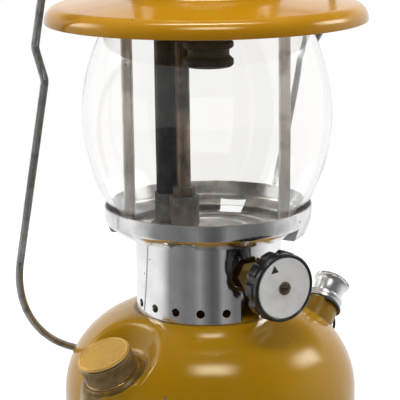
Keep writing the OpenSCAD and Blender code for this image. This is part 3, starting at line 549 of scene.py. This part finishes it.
dishLook = {
    "bright": (0.84, 0.84, 0.83), "dull": (0.62, 0.62, 0.61), "line": (0.40, 0.40, 0.395), "lineShare": 0.3,
    "stretch": (420.0, 420.0, 30.0), "stainScale": 60.0, "rough": 0.13, "stainRough": 0.10, "lineRough": 0.10,
    "bump": 0.05, "speck": (0.03, 0.028, 0.025), "speckScale": 300.0, "speckShare": 0.05,
}
dishInsideLook = dict(dishLook, bright=(0.80, 0.78, 0.75), dull=(0.36, 0.34, 0.32), low=0.36, high=0.62,
                      rough=0.32, stainScale=55.0, speck=(0.02, 0.018, 0.016), speckShare=0.10)
steelLook = {
    "bright": (0.94, 0.88, 0.80), "dull": (0.66, 0.60, 0.53), "line": (0.24, 0.21, 0.18), "lineShare": 0.35,
    "metal": 0.6, "stretch": (900.0, 900.0, 24.0), "stainScale": 70.0, "rough": 0.30, "lineRough": 0.14,
    "bump": 0.10,
    "speck": (0.10, 0.06, 0.035), "speckScale": 420.0, "speckShare": 0.04,
}
wireLook = {
    "bright": (0.34, 0.345, 0.33), "dull": (0.215, 0.215, 0.205), "line": (0.15, 0.15, 0.145),
    "lineShare": 0.4, "metal": 0.75, "stretch": (500.0, 500.0, 90.0), "stainScale": 160.0,
    "rough": 0.40, "bump": 0.18,
    "speck": (0.12, 0.115, 0.10), "speckScale": 600.0, "speckShare": 0.08,
}
alloyLook = {
    "bright": (0.82, 0.81, 0.79), "dull": (0.62, 0.61, 0.59), "line": (0.48, 0.47, 0.46), "lineShare": 0.3,
    "stretch": (700.0, 700.0, 700.0), "stainScale": 130.0, "rough": 0.24, "lineRough": 0.12, "bump": 0.06,
    "speck": (0.22, 0.20, 0.18), "speckScale": 500.0, "speckShare": 0.03,
}
brassLook = {
    "bright": (0.53, 0.36, 0.115), "dull": (0.30, 0.185, 0.06), "line": (0.24, 0.15, 0.05), "lineShare": 0.35,
    "stretch": (420.0, 420.0, 420.0), "stainScale": 110.0, "rough": 0.30, "bump": 0.08,
    "speck": (0.10, 0.055, 0.02), "speckScale": 520.0, "speckShare": 0.05,
}
capSideLook = dict(brassLook, bright=(0.58, 0.41, 0.20), dull=(0.36, 0.245, 0.120), line=(0.22, 0.15, 0.075),
                   metal=0.7, rough=0.36, stainScale=150.0, speckShare=0.05, groove=(0.075, 0.050, 0.024))
discLook = dict(alloyLook, bright=(0.78, 0.77, 0.74), dull=(0.68, 0.67, 0.64), line=(0.58, 0.57, 0.55),
                metal=0.35, stretch=(60.0, 900.0, 900.0), lineShare=0.22, rough=0.34)
soilLook = {"soot": (0.012, 0.0115, 0.011), "scale": (0.034, 0.031, 0.027), "ash": (0.070, 0.060, 0.050),
            "metal": 0.12, "sootScale": 80.0, "grit": 700.0, "rough": 0.52}
bronzeLook = dict(soilLook, soot=(0.050, 0.040, 0.030), scale=(0.19, 0.135, 0.085), ash=(0.25, 0.19, 0.13),
                  metal=0.6, rough=0.36)
baseLook = dict(soilLook, soot=(0.12, 0.108, 0.096), scale=(0.32, 0.285, 0.25),
                ash=(0.40, 0.37, 0.33), metal=0.4, rough=0.42)
phenolicLook = {"deep": (0.0085, 0.0085, 0.009), "worn": (0.018, 0.017, 0.017), "scuff": (0.07, 0.068, 0.065),
                "stainScale": 120.0, "speckScale": 700.0, "speckShare": 0.05, "rough": 0.20, "grain": 1500.0}
blackWireLook = dict(phenolicLook, deep=(0.010, 0.010, 0.010), worn=(0.03, 0.028, 0.026), rough=0.28)
rubberLook = dict(phenolicLook, worn=(0.022, 0.021, 0.02), rough=0.55, bump=0.3)
leatherLook = {"deep": (0.11, 0.05, 0.022), "worn": (0.18, 0.09, 0.045), "scuff": (0.06, 0.03, 0.015),
               "stainScale": 200.0, "speckScale": 900.0, "speckShare": 0.2, "rough": 0.55, "grain": 1800.0,
               "bump": 0.5}
markLook = dict(phenolicLook, deep=(0.012, 0.012, 0.012), worn=(0.03, 0.03, 0.03), rough=0.4)
glassLook = {"clear": (0.995, 0.992, 0.982), "film": (0.980, 0.972, 0.955), "seed": (0.93, 0.92, 0.90),
             "filmScale": 18.0, "seedScale": 240.0, "seedShare": 0.006, "filmRough": 0.015, "waveScale": 32.0,
             "wave": 0.05}

finishes = {
    "enamel": enamelFinish("goldEnamel", enamelLook),
    "brass": metalFinish("plainBrass", brassLook),
    "cap_brass": metalFinish("knurledBrass", capSideLook),
    "generator_bronze": castingFinish("burntBronze", bronzeLook),
    "seal": mattFinish("sealRubber", rubberLook),
    "alloy": metalFinish("castAlloy", alloyLook),
    "black_wire": mattFinish("blackWire", blackWireLook),
    "leather": mattFinish("cupLeather", leatherLook),
    "phenolic": mattFinish("blackPhenolic", phenolicLook),
    "nickel": metalFinish("polishedNickel", collarLook),
    "sooty_casting": castingFinish("sootyCasting", soilLook),
    "sooty_steel": metalFinish("dishSteel", dishLook),
    "steel": metalFinish("frameSteel", steelLook),
    "galvanised_wire": metalFinish("galvanisedWire", wireLook),
    "clear_glass": glassFinish("clearGlass", glassLook),
}
capTopLook = dict(brassLook, bright=(0.60, 0.35, 0.060), dull=(0.50, 0.285, 0.050),
                  metal=0.30, rough=0.38, lineShare=0.15)
capTop = metalFinish("capTop", capTopLook)
hoodEnamel = enamelFinish("hoodEnamel", hoodLook)
baseIron = castingFinish("baseIron", baseLook)
dishInside = metalFinish("dishInside", dishInsideLook)
discFace = metalFinish("discFace", discLook)
markBlack = mattFinish("markBlack", markLook)
print("finishes mixed")

slotOf = {row["node"]: row["material_slot"] for row in frame["record"]["subparts"]}
bodyOf = {n: b for b, members in frame["record"]["behaviour"]["bodies"].items() for n in members}
dressed = set()


# Shaping helpers: outlines are in millimetres, (radius, height, corner radius)
def roundedLine(points, bite):
    # each corner with a radius becomes an arc in steps of about one bite
    line = []
    for i, p in enumerate(points):
        here = Vector(p[:2])
        radius = p[2] if len(p) > 2 else 0
        if not radius:
            line.append(here)
            continue
        before = (here - Vector(points[i - 1][:2])).normalized()
        after = (Vector(points[(i + 1) % len(points)][:2]) - here).normalized()
        turn = math.atan2(before.x * after.y - before.y * after.x, before.dot(after))
        trim = radius * math.tan(abs(turn) / 2)
        start = here - before * trim
        middle = start + Vector((-before.y, before.x)) * math.copysign(radius, turn)
        count = max(4, round(radius * abs(turn) / bite))
        for k in range(count + 1):
            line.append(middle + Matrix.Rotation(turn * k / count, 2) @ (start - middle))
    return line


def drawLine(name, line, closed):
    # the outline is drawn in the XZ plane, one extrusion after another
    clearSelection()
    bpy.ops.mesh.primitive_plane_add(size=mm, location=(0, 0, 0))
    obj = bpy.context.object
    obj.name = name
    obj.data.name = name
    bpy.ops.object.mode_set(mode="EDIT")
    bpy.ops.mesh.select_mode(type="VERT")
    bpy.ops.mesh.select_all(action="SELECT")
    bpy.ops.mesh.merge(type="CENTER")
    here = Vector((line[0].x, 0, line[0].y)) * mm
    bpy.ops.transform.translate(value=here)
    for p in line[1:]:
        there = Vector((p.x, 0, p.y)) * mm
        bpy.ops.mesh.extrude_region_move(TRANSFORM_OT_translate={"value": there - here})
        here = there
    if closed:
        mesh = bmesh.from_edit_mesh(obj.data)
        for v in mesh.verts:
            v.select = len(v.link_edges) == 1
        mesh.select_flush_mode()
        bmesh.update_edit_mesh(obj.data)
        bpy.ops.mesh.edge_face_add()
    return obj


def turned(name, points, steps=128, closed=True, angle=360, bite=1.2):
    # an outline turned about the Z axis
    obj = drawLine(name, roundedLine(points, bite), closed)
    bpy.ops.mesh.select_all(action="SELECT")
    bpy.ops.mesh.spin(steps=steps, angle=math.radians(angle), center=(0, 0, 0), axis=(0, 0, 1))
    bpy.ops.mesh.select_all(action="SELECT")
    bpy.ops.mesh.remove_doubles(threshold=2e-6)
    if angle < 360:
        bpy.ops.mesh.fill_holes(sides=0)
        bpy.ops.mesh.select_all(action="SELECT")
    bpy.ops.mesh.normals_make_consistent(inside=False)
    bpy.ops.object.mode_set(mode="OBJECT")
    return obj


def applyModifier(obj, kind, **settings):
    makeActive(obj)
    mod = obj.modifiers.new(kind.lower(), kind)
    for key, value in settings.items():
        setattr(mod, key, value)
    bpy.ops.object.modifier_apply(modifier=mod.name)


def sheetTurned(name, points, thick, steps=192, bite=1.2, edge=0.0):
    # a pressed sheet: its middle line turned, then given its thickness
    obj = turned(name, points, steps, closed=False, bite=bite)
    applyModifier(obj, "SOLIDIFY", thickness=thick * mm, offset=0, use_even_offset=True)
    if edge:
        softenEdges(obj, edge, 50)
    return obj


def softenEdges(obj, width, angle=35, segments=2):
    applyModifier(obj, "BEVEL", width=width * mm, segments=segments, limit_method="ANGLE",
                  angle_limit=math.radians(angle), harden_normals=False)


def placeMesh(obj, place):
    makeActive(obj)
    obj.matrix_world = place @ obj.matrix_world
    bpy.ops.object.transform_apply(location=True, rotation=True, scale=True)
    return obj


def joined(pieces):
    makeActive(pieces[0])
    for p in pieces:
        p.select_set(True)
    bpy.ops.object.join()
    return pieces[0]


def cutAway(obj, cutters):
    tool = joined(cutters)
    applyModifier(obj, "BOOLEAN", object=tool, operation="DIFFERENCE", solver="EXACT")
    bpy.data.objects.remove(tool, do_unlink=True)
    makeActive(obj)
    bpy.ops.object.mode_set(mode="EDIT")
    bpy.ops.mesh.select_all(action="SELECT")
    bpy.ops.mesh.remove_doubles(threshold=5e-6)
    bpy.ops.mesh.dissolve_degenerate(threshold=5e-6)
    bpy.ops.object.mode_set(mode="OBJECT")


def rod(radius, length, place, corners=32):
    # a round cutter along its own Z axis from the origin of its place
    clearSelection()
    bpy.ops.mesh.primitive_cylinder_add(vertices=corners, radius=radius * mm, depth=length * mm,
                                        location=(0, 0, length * mm / 2))
    return placeMesh(bpy.context.object, place)


def finishPiece(piece, nodeName, finish=None, smooth=35, stands=True):
    makeActive(piece)
    bpy.ops.object.shade_smooth_by_angle(angle=math.radians(smooth))
    piece.data.materials.clear()
    piece.data.materials.append(finish or finishes[slotOf[nodeName]])
    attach(piece, bodyOf[nodeName])
    if stands:
        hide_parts(nodeName)
        dressed.add(nodeName)


def secondFinish(piece, finish, chosen):
    # faces picked by their middle and normal take another finish
    piece.data.materials.append(finish)
    count = len(piece.data.materials) - 1
    for f in piece.data.polygons:
        if chosen(f.center / mm, f.normal):
            f.material_index = count


def smoothCopy(nodeName, smooth=35, edge=0.0):
    makeActive(nodes[nodeName])
    bpy.ops.object.duplicate()
    piece = bpy.context.object
    piece.name = nodeName + ".dressed"
    for key in list(piece.keys()):
        del piece[key]
    piece.parent = None
    bpy.ops.object.mode_set(mode="EDIT")
    bpy.ops.mesh.select_all(action="SELECT")
    bpy.ops.mesh.remove_doubles(threshold=1e-6)
    bpy.ops.object.mode_set(mode="OBJECT")
    if edge:
        softenEdges(piece, edge, smooth)
    finishPiece(piece, nodeName, smooth=smooth)
    return piece


def ripple(obj, reshape):
    # every vertex goes through reshape(radius, angle, height) in millimetres
    makeActive(obj)
    bpy.ops.object.mode_set(mode="EDIT")
    mesh = bmesh.from_edit_mesh(obj.data)
    for v in mesh.verts:
        r = math.hypot(v.co.x, v.co.y) / mm
        a = math.atan2(v.co.y, v.co.x)
        r2, z2 = reshape(r, a, v.co.z / mm)
        v.co = Vector((r2 * math.cos(a), r2 * math.sin(a), z2)) * mm
    bmesh.update_edit_mesh(obj.data)
    bpy.ops.object.mode_set(mode="OBJECT")


# Fount: a spun tank with a pressed seat for the filler and a soldered socket for the pump
fountSettings = {
    "line": [(11.1, 90.4), (76.5, 90.4, 45)] + [(76.5, 45.0 - 2.0 * i) for i in range(1, 8)]
            + [(76.5, 0, 6), (64.5, 0)],
    "sheet": 1.2, "steps": 256,
    "seat": 20.0, "flare": 0.85, "boss": 16.6, "bossFront": 3.2, "moat": 1.8, "flank": 3.0,
    "moatAt": 16.8, "moatWide": 1.4, "roundWell": 2.4, "roundEdge": 1.2, "roundTop": 4.5, "roundBoss": 5.0,
    "reach": 33.0, "margin": 6, "below": -30, "above": 25, "smoothBelow": -26,
    # radius, start and length of the holes for the neck and the barrel
    "neckHole": (10.3, -15, 30), "barrelHole": (8.3, -40, 60),
    "socket": [(8.3, -16), (9.15, -16), (9.15, 0, 0.5), (8.3, 0)], "socketSteps": 96,
}


def softLeast(a, b, k):
    # the smaller of two heights, blended where they differ by less than k
    h = max(k - abs(a - b), 0) / k
    return min(a, b) - h * h * k / 4


def pressSeat(p, rho, s):
    # height of the pressed sheet at the distance rho from the filler's axis
    moat = -s["moat"] * math.exp(-((rho - s["moatAt"]) / s["moatWide"]) ** 2)
    rise = (rho - s["seat"]) / s["flare"]
    well = moat - softLeast(-rise, 0, s["roundWell"])
    pressed = softLeast(p.z, well, s["roundTop"])
    edge = s["boss"] + s["bossFront"] * max(0, p.y / max(rho, 1))
    boss = moat + softLeast(0, -s["flank"] * (rho - edge), s["roundEdge"])
    return -softLeast(-pressed, -boss, s["roundBoss"])


def nearFiller(obj, inner, outer, low, high):
    # selects the vertices in a ring about the filler's axis
    mesh = bmesh.from_edit_mesh(obj.data)
    back = fillerPlace.inverted()
    for v in mesh.verts:
        p = back @ v.co / mm
        v.select = inner < math.hypot(p.x, p.y) < outer and low < p.z < high
    mesh.select_flush_mode()
    bmesh.update_edit_mesh(obj.data)


def makeFount(s):
    obj = turned("fountSkin", s["line"], s["steps"], closed=False)
    makeActive(obj)
    bpy.ops.object.mode_set(mode="EDIT")
    nearFiller(obj, -1, s["reach"], s["below"], s["above"])
    bpy.ops.mesh.subdivide(number_cuts=2)
    mesh = bmesh.from_edit_mesh(obj.data)
    back = fillerPlace.inverted()
    for v in mesh.verts:
        p = back @ v.co / mm
        rho = math.hypot(p.x, p.y)
        if rho < s["reach"] + s["margin"] and s["below"] < p.z < s["above"]:
            p.z = pressSeat(p, rho, s)
            v.co = fillerPlace @ (p * mm)
    bmesh.update_edit_mesh(obj.data)
    nearFiller(obj, s["seat"] - 5, s["reach"] - 1, s["smoothBelow"], s["above"])
    bpy.ops.mesh.vertices_smooth(factor=0.5, repeat=2)
    bpy.ops.mesh.select_all(action="SELECT")
    bpy.ops.mesh.normals_make_consistent(inside=False)
    bpy.ops.object.mode_set(mode="OBJECT")
    applyModifier(obj, "SOLIDIFY", thickness=s["sheet"] * mm, offset=-1)
    cutters = []
    for place, hole in ((fillerPlace, s["neckHole"]), (pumpPlace, s["barrelHole"])):
        radius, start, length = hole
        cutters.append(rod(radius, length, place @ moved(0, 0, start), 64))
    cutAway(obj, cutters)
    socket = placeMesh(turned("pumpSocket", s["socket"], s["socketSteps"], bite=0.2), pumpPlace)
    joined([obj, socket])
    finishPiece(obj, "fount_shell", smooth=50)


makeFount(fountSettings)
print("fount made")


# Filler cap: diamond knurl round the side, a double bead round the bright top
capSettings = {
    "line": [(10.3, 0), (13.2, 0), (13.8, 0.6)] + [(13.8, 0.9 + 0.3 * i) for i in range(28)]
            + [(13.8, 9.3), (13.5, 9.6), (13.4, 10.2), (13.75, 10.5, 0.2), (13.75, 11.0, 0.2),
               (13.3, 11.3, 0.2), (13.2, 11.8, 0.2), (12.7, 12.0, 0.25), (12.3, 11.8, 0.2),
               (12.1, 11.6, 0.2), (0, 11.75), (0, 9.3), (10.3, 9.3)],
    "lift": 1.4, "steps": 360, "side": 13.75, "top": 11.0,
    "diamonds": 60, "pitch": 1.9, "depth": 0.42, "low": 0.9, "high": 9.1,
}


def makeCap(s):
    def knurl(r, a, z):
        if r > s["side"] and s["low"] <= z <= s["high"]:
            u = s["diamonds"] * a / (2 * math.pi)
            v = z / s["pitch"]
            ridge = min(abs(math.sin(math.pi * (u + v))), abs(math.sin(math.pi * (u - v))))
            r -= s["depth"] * (1 - ridge) ** 1.5
        return r, z
    obj = turned("fillerCap", s["line"], s["steps"], bite=0.15)
    ripple(obj, knurl)
    placeMesh(obj, fillerPlace @ moved(0, 0, s["lift"]))
    finishPiece(obj, "filler_cap", smooth=40)
    axis = (fillerPlace.to_3x3() @ Vector((0, 0, 1))).normalized()
    seat = fillerPlace.translation / mm
    secondFinish(obj, capTop, lambda p, n: (p - seat).dot(axis) > s["lift"] + s["top"])


makeCap(capSettings)


# Pump knob: a smooth cone with a finely toothed rim
knobSettings = {
    "line": [(2.96, 0), (7.4, 0, 0.5), (7.7, 0.7), (8.2, 3.8, 8), (8.7, 7.1, 3), (9.7, 8.2, 0.3)]
            + [(9.7, 8.45 + 0.25 * i) for i in range(5)]
            + [(9.7, 9.7), (9.0, 10.4, 0.4), (6.2, 10.4, 0.4), (5.6, 10.1, 0.4), (0, 10.1), (0, 7.4),
               (2.96, 7.4)],
    "lift": 5.1, "steps": 384, "rim": 9.65, "low": 8.4, "high": 9.65, "teeth": 64, "depth": 0.45,
}


def makePumpKnob(s):
    def teeth(r, a, z):
        if r > s["rim"] and s["low"] < z < s["high"]:
            r -= s["depth"] * abs(math.sin(0.5 * s["teeth"] * a))
        return r, z
    obj = turned("pumpKnob", s["line"], s["steps"], bite=0.3)
    ripple(obj, teeth)
    placeMesh(obj, pumpPlace @ moved(0, 0, s["lift"]))
    finishPiece(obj, "pump_knob", smooth=40)


makePumpKnob(knobSettings)


# Pump cap: a flange with one groove
pumpCapSettings = {
    "line": [(2.98, -4), (7.44, -4), (7.44, 0), (8.2, 0), (8.2, 0.5), (9.9, 0.5, 0.3), (9.9, 1.9, 0.15),
             (9.6, 2.05), (9.6, 2.35), (9.9, 2.5, 0.15), (9.9, 4.7, 0.7), (4.2, 4.7, 0.4), (3.9, 4.4),
             (2.98, 4.4)],
    "steps": 128,
}


def makePumpCap(s):
    obj = turned("pumpCap", s["line"], s["steps"], bite=0.15)
    placeMesh(obj, pumpPlace)
    finishPiece(obj, "pump_cap", smooth=40)


makePumpCap(pumpCapSettings)
print("filler and pump made")


# Valve wheel: scalloped grip behind a round rim
wheelSettings = {
    "line": [(2.46, 49.2), (6.5, 49.2, 0.8), (6.5, 55.2, 1.0), (9.2, 55.2, 1.0), (14.0, 58.2, 1.0),
             (17.6, 58.2, 0.9), (17.6, 61.0), (17.6, 64.2, 0.5), (16.7, 64.6, 0.3), (16.9, 65.0),
             (17.2, 65.2), (17.2, 67.8, 1.0), (15.8, 67.8, 0.4), (15.36, 67.0), (2.46, 67.0)],
    "steps": 360, "lobes": 10, "scallop": 3.4, "centre": 19.47,
    "grip": 17.6, "inner": 14.4, "low": 57.8, "high": 64.5, "lean": 0.3,
}


def makeWheel(s):
    def scallops(r, a, z):
        if r > s["inner"] and s["low"] < z < s["high"]:
            step = 2 * math.pi / s["lobes"]
            off = (a % step) - step / 2
            side = s["centre"] * math.sin(off)
            if abs(side) < s["scallop"]:
                edge = s["centre"] * math.cos(off) - math.sqrt(s["scallop"] ** 2 - side ** 2)
                r = min(r, edge - (s["grip"] - r) * s["lean"])
        return r, z
    obj = turned("valveWheel", s["line"], s["steps"], bite=0.3)
    ripple(obj, scallops)
    placeMesh(obj, valvePlace)
    finishPiece(obj, "valve_wheel", smooth=45)


makeWheel(wheelSettings)


# Wheel disc: a bright plate let into the wheel's face, with a plain triangle on it
discSettings = {
    "line": [(1.72, 67.0), (15.3, 67.0), (15.3, 67.4, 0.15), (14.7, 67.5, 0.1), (14.3, 67.42), (3.6, 67.42),
             (1.72, 67.5)],
    "face": 67.42, "mark": 11.4, "markSize": 3.9, "bearing": 121.0, "turn": -116, "thick": 0.06,
    "markCorner": 0.15, "sink": 0.01, "steps": 160,
}


def makeDisc(s):
    obj = turned("wheelDisc", s["line"], s["steps"], bite=0.1)
    placeMesh(obj, valvePlace)
    finishPiece(obj, "wheel_disc", discFace, smooth=40)
    clearSelection()
    # an equilateral triangle is one and a half times as tall as the circle's radius
    bpy.ops.mesh.primitive_circle_add(vertices=3, radius=s["markSize"] * mm / 1.5, fill_type="NGON")
    mark = bpy.context.object
    mark.name = "wheelMark"
    bpy.ops.object.mode_set(mode="EDIT")
    bpy.ops.mesh.select_all(action="SELECT")
    bpy.ops.mesh.bevel(affect="VERTICES", offset=s["markCorner"] * mm, segments=3)
    bpy.ops.mesh.select_all(action="SELECT")
    bpy.ops.mesh.extrude_region_move(TRANSFORM_OT_translate={"value": (0, 0, s["thick"] * mm)})
    bpy.ops.mesh.select_all(action="SELECT")
    bpy.ops.mesh.normals_make_consistent(inside=False)
    bpy.ops.object.mode_set(mode="OBJECT")
    onFace = moved(s["mark"], 0, s["face"] - s["sink"])
    placeMesh(mark, valvePlace @ spun(s["bearing"]) @ onFace @ spun(s["turn"]))
    finishPiece(mark, "wheel_disc", markBlack, smooth=30, stands=False)


makeDisc(discSettings)
print("valve wheel made")


# Collar: polished tube with a row of air holes and a keyhole for the valve
collarSettings = {
    "line": [(37.6, 90.1 + 40.04 * i / 10) for i in range(11)], "sheet": 0.8, "steps": 256,
    # round cutters: radius, start and length
    "hole": (2.2, 33, 10), "holeHeight": 95.6, "holeStep": 20, "keyhole": (10.0, 20, 30),
    "slotSize": (11.2, 30, 26), "slotPlace": (0, -35, 101),
}


def makeCollar(s):
    obj = sheetTurned("collarTube", s["line"], s["sheet"], s["steps"])
    out = spun(90, "Y")
    radius, start, length = s["hole"]
    cutters = [rod(radius, length, compass(a) @ moved(start, 0, s["holeHeight"]) @ out)
               for a in range(s["holeStep"], 360, s["holeStep"])]
    radius, start, length = s["keyhole"]
    cutters.append(rod(radius, length, valvePlace @ moved(0, 0, start), 64))
    clearSelection()
    bpy.ops.mesh.primitive_cube_add(size=1)
    slot = bpy.context.object
    slot.scale = Vector(s["slotSize"]) * mm
    cutAway(obj, cutters)
    cutAway(obj, [placeMesh(slot, moved(*s["slotPlace"]))])
    finishPiece(obj, "collar", smooth=30)


makeCollar(collarSettings)


# Globe rest: a pressed dish with rings in its floor, four windows in its step and two lugs
dishSettings = {
    "line": [(0, 130.65), (21, 130.65, 1), (22, 131.2, 1), (24.5, 131.2, 1), (25.5, 130.65, 1),
             (33, 130.65, 1), (33.8, 131.1, 1), (35.8, 131.1, 1), (36.6, 130.65, 1), (44, 130.65, 3),
             (53.05, 136.75, 3), (53.05, 144.9)],
    "sheet": 0.9, "steps": 256, "lip": 0.4,
    "windows": (-50, 40, 130, 220),
    # a window's reach from the middle and half its width, at three places
    "window": ((38.4, 6.82), (44.0, 6.2), (51.25, 7.75)), "windowLow": 127.2, "windowDeep": 10,
    "lug": [(42, 130.65), (43, 129.9), (49.9, 129.9), (50.8, 130.5), (53.4, 137.55), (52.8, 137.55),
            (52.8, 136.75), (44, 130.8)],
    "lugs": (74, -106), "lugHalf": 16, "lugSteps": 16, "upward": 0.2, "inward": -10,
}


def makeDish(s):
    obj = sheetTurned("globeRest", s["line"], s["sheet"], s["steps"], 0.8, s["lip"])
    cutters = []
    for a in s["windows"]:
        clearSelection()
        bpy.ops.mesh.primitive_grid_add(x_subdivisions=2, y_subdivisions=1, size=2)
        tool = bpy.context.object
        bpy.ops.object.mode_set(mode="EDIT")
        mesh = bmesh.from_edit_mesh(tool.data)
        for v in mesh.verts:
            reach, half = s["window"][round(v.co.x) + 1]
            v.co = Vector((reach, math.copysign(half, v.co.y), 0)) * mm
        bmesh.update_edit_mesh(tool.data)
        bpy.ops.mesh.select_all(action="SELECT")
        bpy.ops.mesh.extrude_region_move(TRANSFORM_OT_translate={"value": (0, 0, s["windowDeep"] * mm)})
        bpy.ops.mesh.select_all(action="SELECT")
        bpy.ops.mesh.normals_make_consistent(inside=False)
        bpy.ops.object.mode_set(mode="OBJECT")
        cutters.append(placeMesh(tool, compass(a) @ moved(0, 0, s["windowLow"])))
    cutAway(obj, cutters)
    lugs = []
    for a in s["lugs"]:
        lug = turned("restLug", s["lug"], s["lugSteps"], angle=2 * s["lugHalf"])
        lugs.append(placeMesh(lug, compass(a - s["lugHalf"])))
    joined([obj] + lugs)
    finishPiece(obj, "globe_rest", smooth=40)
    secondFinish(obj, dishInside,
                 lambda p, n: n.z > s["upward"] or n.x * p.x + n.y * p.y < s["inward"])


makeDish(dishSettings)
print("collar and dish made")


# Globe: blown glass with a straight lip at each end
globeSettings = {
    "line": [(45.5, 133.12), (45.5, 138.12, 10), (78.53, 192.02, 91.0), (45.5, 245.92, 10), (45.5, 250.92)],
    "sheet": 2.4, "steps": 160, "lip": 0.7,
}


def makeGlobe(s):
    obj = sheetTurned("glassGlobe", s["line"], s["sheet"], s["steps"], 2.0, s["lip"])
    finishPiece(obj, "globe", smooth=60)


makeGlobe(globeSettings)


# Ventilator: spun hood with a rolled brim and slots round the crown
hoodSettings = {
    "line": [(81.5, 239.5), (81.5, 246.98, 7.5), (39.5, 252.58, 8), (37.0, 298.08, 8), (3.4, 298.08)],
    "sheet": 1.0, "steps": 288, "lip": 0.35,
    # round cutters: radius, start and length
    "slots": 12, "slot": (2.5, 31, 14), "slotHalf": 4.0, "slotHeight": 271.4,
    "pivot": (2.08, -55, 110), "pivotHeight": 280.384,
}


def makeHood(s):
    obj = sheetTurned("hood", s["line"], s["sheet"], s["steps"], 0.8, s["lip"])
    out = spun(90, "Y")
    cutters = []
    radius, start, length = s["slot"]
    for i in range(s["slots"]):
        tool = rod(radius, length, out, 40)
        for v in tool.data.vertices:
            v.co.z += math.copysign(s["slotHalf"] * mm, v.co.z)
        cutters.append(placeMesh(tool, spun(360 * (i + 0.5) / s["slots"]) @ moved(start, 0, s["slotHeight"])))
    radius, start, length = s["pivot"]
    cutters.append(rod(radius, length, moved(start, 0, s["pivotHeight"]) @ out))
    cutAway(obj, cutters)
    finishPiece(obj, "ventilator", hoodEnamel, smooth=40)


makeHood(hoodSettings)
print("globe and hood made")


# Burner cap and the ball nut on top
burnerSettings = {
    "line": [(9.25, 0), (11.6, 0), (12.8, 1.2), (12.8, 3.8), (11.8, 4.8), (10.65, 5.8), (10.65, 8.9),
             (12.0, 9.5), (12.8, 10.3), (12.8, 12.5), (11.8, 13.3), (7.71, 13.3), (7.71, 19.3),
             (6.21, 19.3), (6.21, 13.3), (5.25, 13.3), (5.25, 11.9), (9.25, 6.2)],
    "edge": 0.35, "steps": 128,
}


def makeBurner(s):
    obj = turned("burnerHead", s["line"], s["steps"])
    softenEdges(obj, s["edge"], 25)
    placeMesh(obj, burnerPlace)
    finishPiece(obj, "burner_cap", smooth=40)


makeBurner(burnerSettings)

ballRadius = 9
ballHeight = 10.2


def onBall(angle):
    # a point of the ball's outline, counted from its lowest point
    a = math.radians(angle)
    return ballRadius * math.sin(a), ballHeight - ballRadius * math.cos(a)


nutSettings = {
    "line": [(3.06, 0), (8.1, 0), (8.1, 2, 0.5), (6.0, 2, 0.5), (5.6, 2.5)]
            + [onBall(a) for a in range(40, 180, 4)]
            + [(0, 19.2), (0, 11), (3.06, 11)],
    "height": 298.584, "steps": 96,
}


def makeBallNut(s):
    obj = turned("ballNut", s["line"], s["steps"], bite=0.2)
    placeMesh(obj, moved(0, 0, s["height"]))
    finishPiece(obj, "ball_nut", smooth=40)


makeBallNut(nutSettings)
print("burner head and ball nut made")


# The rest keep the shape of their solids, with softened edges where these show
softened = {"left_upright": 0.25, "right_upright": 0.25, "frame_bridge": 0.2}
otherFinish = {"generator_nut": finishes["generator_bronze"], "burner_base": baseIron,
               "filler_neck": finishes["cap_brass"], "mixing_tube": finishes["sooty_casting"],
               "wheel_screw": finishes["generator_bronze"]}
for nodeName in sorted(set(nodes) - dressed):
    piece = smoothCopy(nodeName, edge=softened.get(nodeName, 0.0))
    if nodeName in otherFinish:
        piece.data.materials[0] = otherFinish[nodeName]
print("all nodes dressed")
